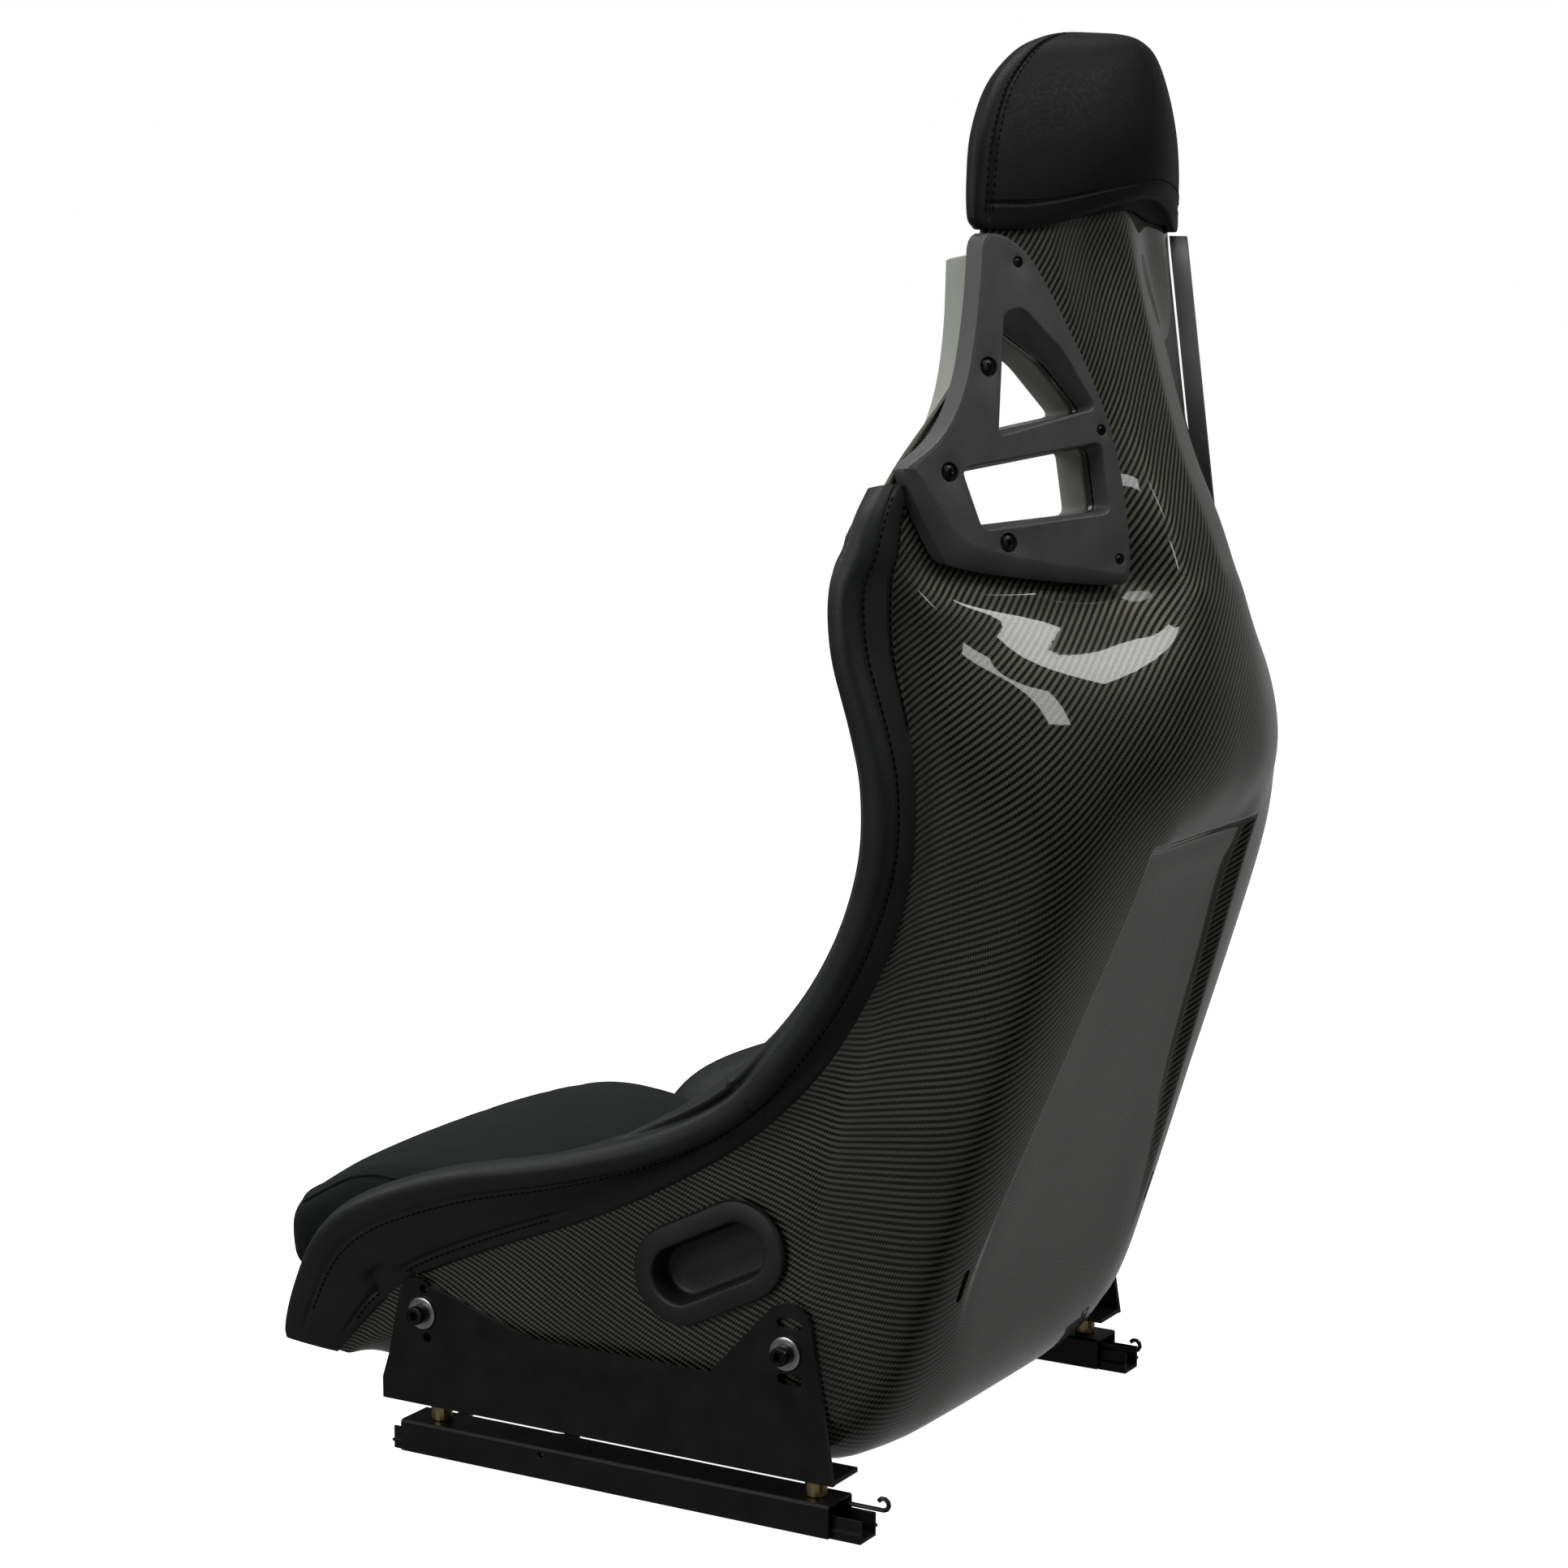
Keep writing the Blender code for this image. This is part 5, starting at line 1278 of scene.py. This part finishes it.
def make_wing_screws():
    large, small = cross_head(0.0056, 0.0026), cross_head(0.0034, 0.0022)
    for side, suffix in SIDES:
        for k, (spot, (x, z)) in enumerate(SCREWS_LARGE.items()):
            place = wing_frame(x, z, -SCREW_SINK + 0.0003, side) @ Matrix.Rotation(0.5 + k, 4, "Z")
            add_piece(f"guide_screw_{spot}_{suffix}", placed(large, place), "bolt_steel",
                      replaces=[f"wing_screw_{spot}_{suffix}"])
        for k, (x, z) in enumerate(SCREWS_SMALL):
            place = wing_frame(x, z, -SCREW_SINK + 0.0003, side) @ Matrix.Rotation(0.3 + k * 0.7, 4, "Z")
            add_piece(f"guide_screw_small_{k + 1}_{suffix}", placed(small, place), "bolt_steel")


# ---------------------------------------------------------------- belt guides
# Length, width and x of the belt oval's rings, from the back of its rim over the face to the pocket's floor.
BELT_OVAL = metres([
    (86, 34, 203.2), (89, 37, 203), (91, 39, 203.6), (91, 39, 219), (118, 66, 219), (119.6, 67.6, 219.4),
    (120, 68, 220.2), (120, 68, 221.2), (119.4, 67.4, 222.2), (118, 66, 223), (116, 64, 223.5),
    (96, 44, 223.6),
    (93.6, 41.6, 223.5), (91.8, 39.8, 223), (90.6, 38.6, 222), (90, 38, 220.5), (88, 36, 209),
    (86.5, 34.5, 206.8),
    (84, 32, 205.4), (80, 28, 204.8), (60, 10, 204.6),
])


def make_belt_guide(side, suffix):
    """Oval bezel with soft edges, round a dished pocket with a rounded floor."""
    rings = [[(x * side, y, z) for y, z in stadium(BELT_GUIDE_CENTRE, length, width, BELT_GUIDE_TILT, 22)]
             for length, width, x in BELT_OVAL]
    add_piece(f"belt_oval_{suffix}", loft("belt_oval", rings, 40.0), "guide_plastic",
              replaces=[f"belt_guide_{suffix}"])


# ---------------------------------------------------------------- fasteners
def hex_bolt():
    """Round head with a hexagon socket and a chamfered rim."""
    profile = metres([(0, 8), (5.6, 8), (6.1, 7.8), (6.4, 7.2), (6.4, 0), (4, 0), (4, -20), (0, -20)])
    socket = metres([(3.8, 3.4), (7.4, 3.4), (9, 4.4)])
    rings = [[(x, y + DATUM_Y, z) for x, y in circle(6, size)] for z, size in socket]
    return carved("bolt", turned("bolt", profile, 48), [loft("socket", rings)])


def make_side_fasteners():
    section = metres([
        (4.3, 1.6), (4.6, 1.8), (10.6, 1.8), (11.1, 1.5), (11.2, 0.3), (10.9, 0), (4.4, 0), (4.3, 0.2),
    ])
    washer = turned("washer", section, 64, looped=True)
    bolt = hex_bolt()
    for side, suffix in SIDES:
        for spot, (y, z) in (("front", BOLT_FRONT), ("rear", BOLT_REAR)):
            place = along_x(PLATE_X + 0.0004, y, z, side)
            add_piece(f"washer_{spot}_{suffix}", placed(washer, place), "zinc",
                      replaces=[f"side_washer_{spot}_{suffix}"])
            place = along_x(PLATE_X + 0.0026, y, z, side) @ Matrix.Rotation(0.35, 4, "Z")
            add_piece(f"bolt_{spot}_{suffix}", placed(bolt, place), "bolt_steel",
                      replaces=[f"side_bolt_{spot}_{suffix}"])


# ---------------------------------------------------------------- carried-over solids
KEPT = {
    "side_mount": ("black_steel", 0.0007),
    "upper_rail": ("rail_steel_painted_shade", 0.0004),
    "lower_rail": ("rail_steel_painted_shade", 0.0004),
    "rail_clip": ("black_steel", 0.0),
    "release_bar": ("black_steel", 0.0),
    "release_grip": ("guide_plastic", 0.0),
    "shell_insert": ("zinc", 0.0003),
    "rail_spacer": ("brass", 0.0003),
    "rail_bolt": ("brass", 0.0003),
    "ball_cage": ("spring_steel", 0.0),
    "lock_pawl": ("spring_steel", 0.0002),
    "release_shaft": ("spring_steel", 0.0),
    "lock_spring": ("spring_steel", 0.0),
}


def finish_nodes():
    """Softened edges and full materials for the solids whose own shape is right."""
    for name, node in NODES.items():
        for prefix, (look, width) in KEPT.items():
            if not name.startswith(prefix):
                continue
            if not node.material_slots:
                node.data.materials.append(LOOKS[look])
            for slot in node.material_slots:
                slot.material = LOOKS[look]
            if width:
                weld = node.modifiers.new("weld", "WELD")
                weld.merge_threshold = 0.00001
                bevel = node.modifiers.new("soft_edges", "BEVEL")
                bevel.width = width
                bevel.segments = 2
                bevel.limit_method = "ANGLE"
                bevel.angle_limit = math.radians(40)
                bevel.harden_normals = True


# ---------------------------------------------------------------- studio
CAMERA_PLACE = (2.0986, 1.2471, 0.8219)
CAMERA_TURN = 120.34            # azimuth of the camera, degrees
CAMERA_DROP = 8.56              # it looks down by this much
CAMERA_LENS = 80.1


def toward(azimuth, elevation):
    """Direction out of the seat: azimuth 0 is ahead of it, 90 on its left."""
    a, e = math.radians(azimuth), math.radians(elevation)
    return Vector((math.sin(a) * math.cos(e), -math.cos(a) * math.cos(e), math.sin(e)))


def soft_light(name, target, azimuth, elevation, distance, size, radiance, roll=0.0):
    """Rectangular soft light facing the target from a direction, rolled about its line to the target."""
    data = bpy.data.lights.new(name, "AREA")
    data.shape = "RECTANGLE"
    data.size, data.size_y = size
    data.energy = radiance * size[0] * size[1] * math.pi
    lamp = bpy.data.objects.new(name, data)
    bpy.context.scene.collection.objects.link(lamp)
    out = toward(azimuth, elevation)
    lamp.location = Vector(target) - Vector((0, DATUM_Y, 0)) + out * distance
    across = toward(azimuth + 90.0, 0.0)
    rise = out.cross(across)
    rise = rise if rise.z > 0 else -rise
    turn = math.radians(roll)
    wide = across * math.cos(turn) + rise * math.sin(turn)
    lamp.rotation_euler = Matrix((wide, out.cross(wide), out)).transposed().to_euler()


def make_studio():
    """White backdrop for the camera, dark surroundings with soft lobes for the rest, lights and camera."""
    scene = bpy.context.scene
    scene.view_settings.view_transform = "Standard"
    scene.world = bpy.data.worlds.new("studio")
    scene.world.use_nodes = True
    nodes = Nodes(scene.world.node_tree)
    back = nodes.tree.nodes["Background"]
    back.inputs["Color"].default_value = (1.0, 1.0, 1.0, 1.0)
    where = nodes.add("TexCoord").outputs["Generated"]
    total = WORLD_BASE
    for azimuth, elevation, outer, inner, level in WORLD_LOBES:
        facing = nodes.add("VectorMath", {0: where, 1: toward(azimuth, elevation)}, operation="DOT_PRODUCT")
        ends = [math.cos(math.radians(angle)) for angle in (outer, inner)]
        lobe = nodes.span(facing.outputs["Value"], *ends, 0.0, level, interpolation_type="SMOOTHSTEP")
        total = nodes.math("ADD", lobe, total)
    seen = nodes.add("LightPath").outputs["Is Camera Ray"]
    choose = nodes.add("Mix", {0: seen, 2: total, 3: 1.0}, data_type="FLOAT")
    nodes.feed(back.inputs["Strength"], choose.outputs[0])
    for light in LIGHTS:
        soft_light(*light)
    data = bpy.data.cameras.new("camera")
    data.lens = CAMERA_LENS
    data.sensor_width = 36.0
    camera = bpy.data.objects.new("camera", data)
    scene.collection.objects.link(camera)
    camera.location = Vector(CAMERA_PLACE) - Vector((0, DATUM_Y, 0))
    camera.rotation_euler = toward(CAMERA_TURN, CAMERA_DROP).to_track_quat("Z", "Y").to_euler()
    scene.camera = camera


FLOOR_SIDES = 64
FLOOR_RINGS = (0.4, 0.8, 1.5, 3.0, 6.0, 12.0, 40.0)
FLOOR_LEVEL = -0.0006


def make_floor():
    """Pale floor in flat rings, lit from within so that it meets the backdrop, and left out of reflections."""
    look = Look("floor", {"Roughness": 0.9, "Specular IOR Level": 0.1, "Emission Color": (1.0, 1.0, 1.0, 1.0),
                          "Emission Strength": FLOOR_GLOW})
    look.set("Base Color", look.mix(look.noise(3.0), (0.86, 0.86, 0.86), (0.90, 0.90, 0.90)))
    points = [(x, y, FLOOR_LEVEL) for radius in FLOOR_RINGS for x, y in circle(FLOOR_SIDES, radius)]
    faces = ring_faces(FLOOR_SIDES, range(0, len(points), FLOOR_SIDES)) + [list(range(FLOOR_SIDES))]
    mesh = bpy.data.meshes.new("floor")
    mesh.from_pydata(points, [], faces)
    floor = bpy.data.objects.new("floor", mesh)
    bpy.context.scene.collection.objects.link(floor)
    mesh.materials.append(look.material)
    floor.visible_glossy = False
    floor.visible_diffuse = False


WORLD_BASE = 0.022
WORLD_LOBES = [
    # azimuth, elevation, outer angle, inner angle, level
    (270, -35, 75, 25, 0.15),
    (300, 5, 60, 25, 0.07),
    (60, -50, 60, 20, 0.10),
    (121, -30, 45, 10, 0.12),
]
FLOOR_GLOW = 1.0
SHOULDER_SPOT = (0.165, 0.280, 0.587)
LIGHTS = [
    # name, target, azimuth, elevation, distance, (width, height), radiance
    ("window_high", SHOULDER_SPOT, 198, 37.5, 2.6, (0.94, 0.46), 8.0, 21.0),
    ("window_low", SHOULDER_SPOT, 171.5, 20, 2.6, (0.26, 0.46), 6.0, 0.0),
    ("overhead", (0.0, 0.0, 0.4), 100, 86, 2.6, (2.6, 2.6), 3.0, 0.0),
    ("front_left", (0.2, 0.0, 0.3), 70, 22, 3.0, (1.6, 1.2), 3.8, 0.0),
    ("front_fill", (0.0, 0.0, 0.4), 12, 28, 3.2, (1.8, 1.4), 2.2, 0.0),
]

shell = make_shell()
edges = [make_bolster(side, suffix) for side, suffix in SIDES]
headrest = make_headrest()
make_seat_cushion([shell] + edges)
for spot in PADS:
    make_pad(spot, [shell] + edges)
for side, suffix in SIDES:
    make_wing_cover(side, suffix)
    make_wing_trim(side, suffix)
    make_belt_guide(side, suffix)
make_wing_screws()
make_side_fasteners()
finish_nodes()
make_floor()
make_studio()
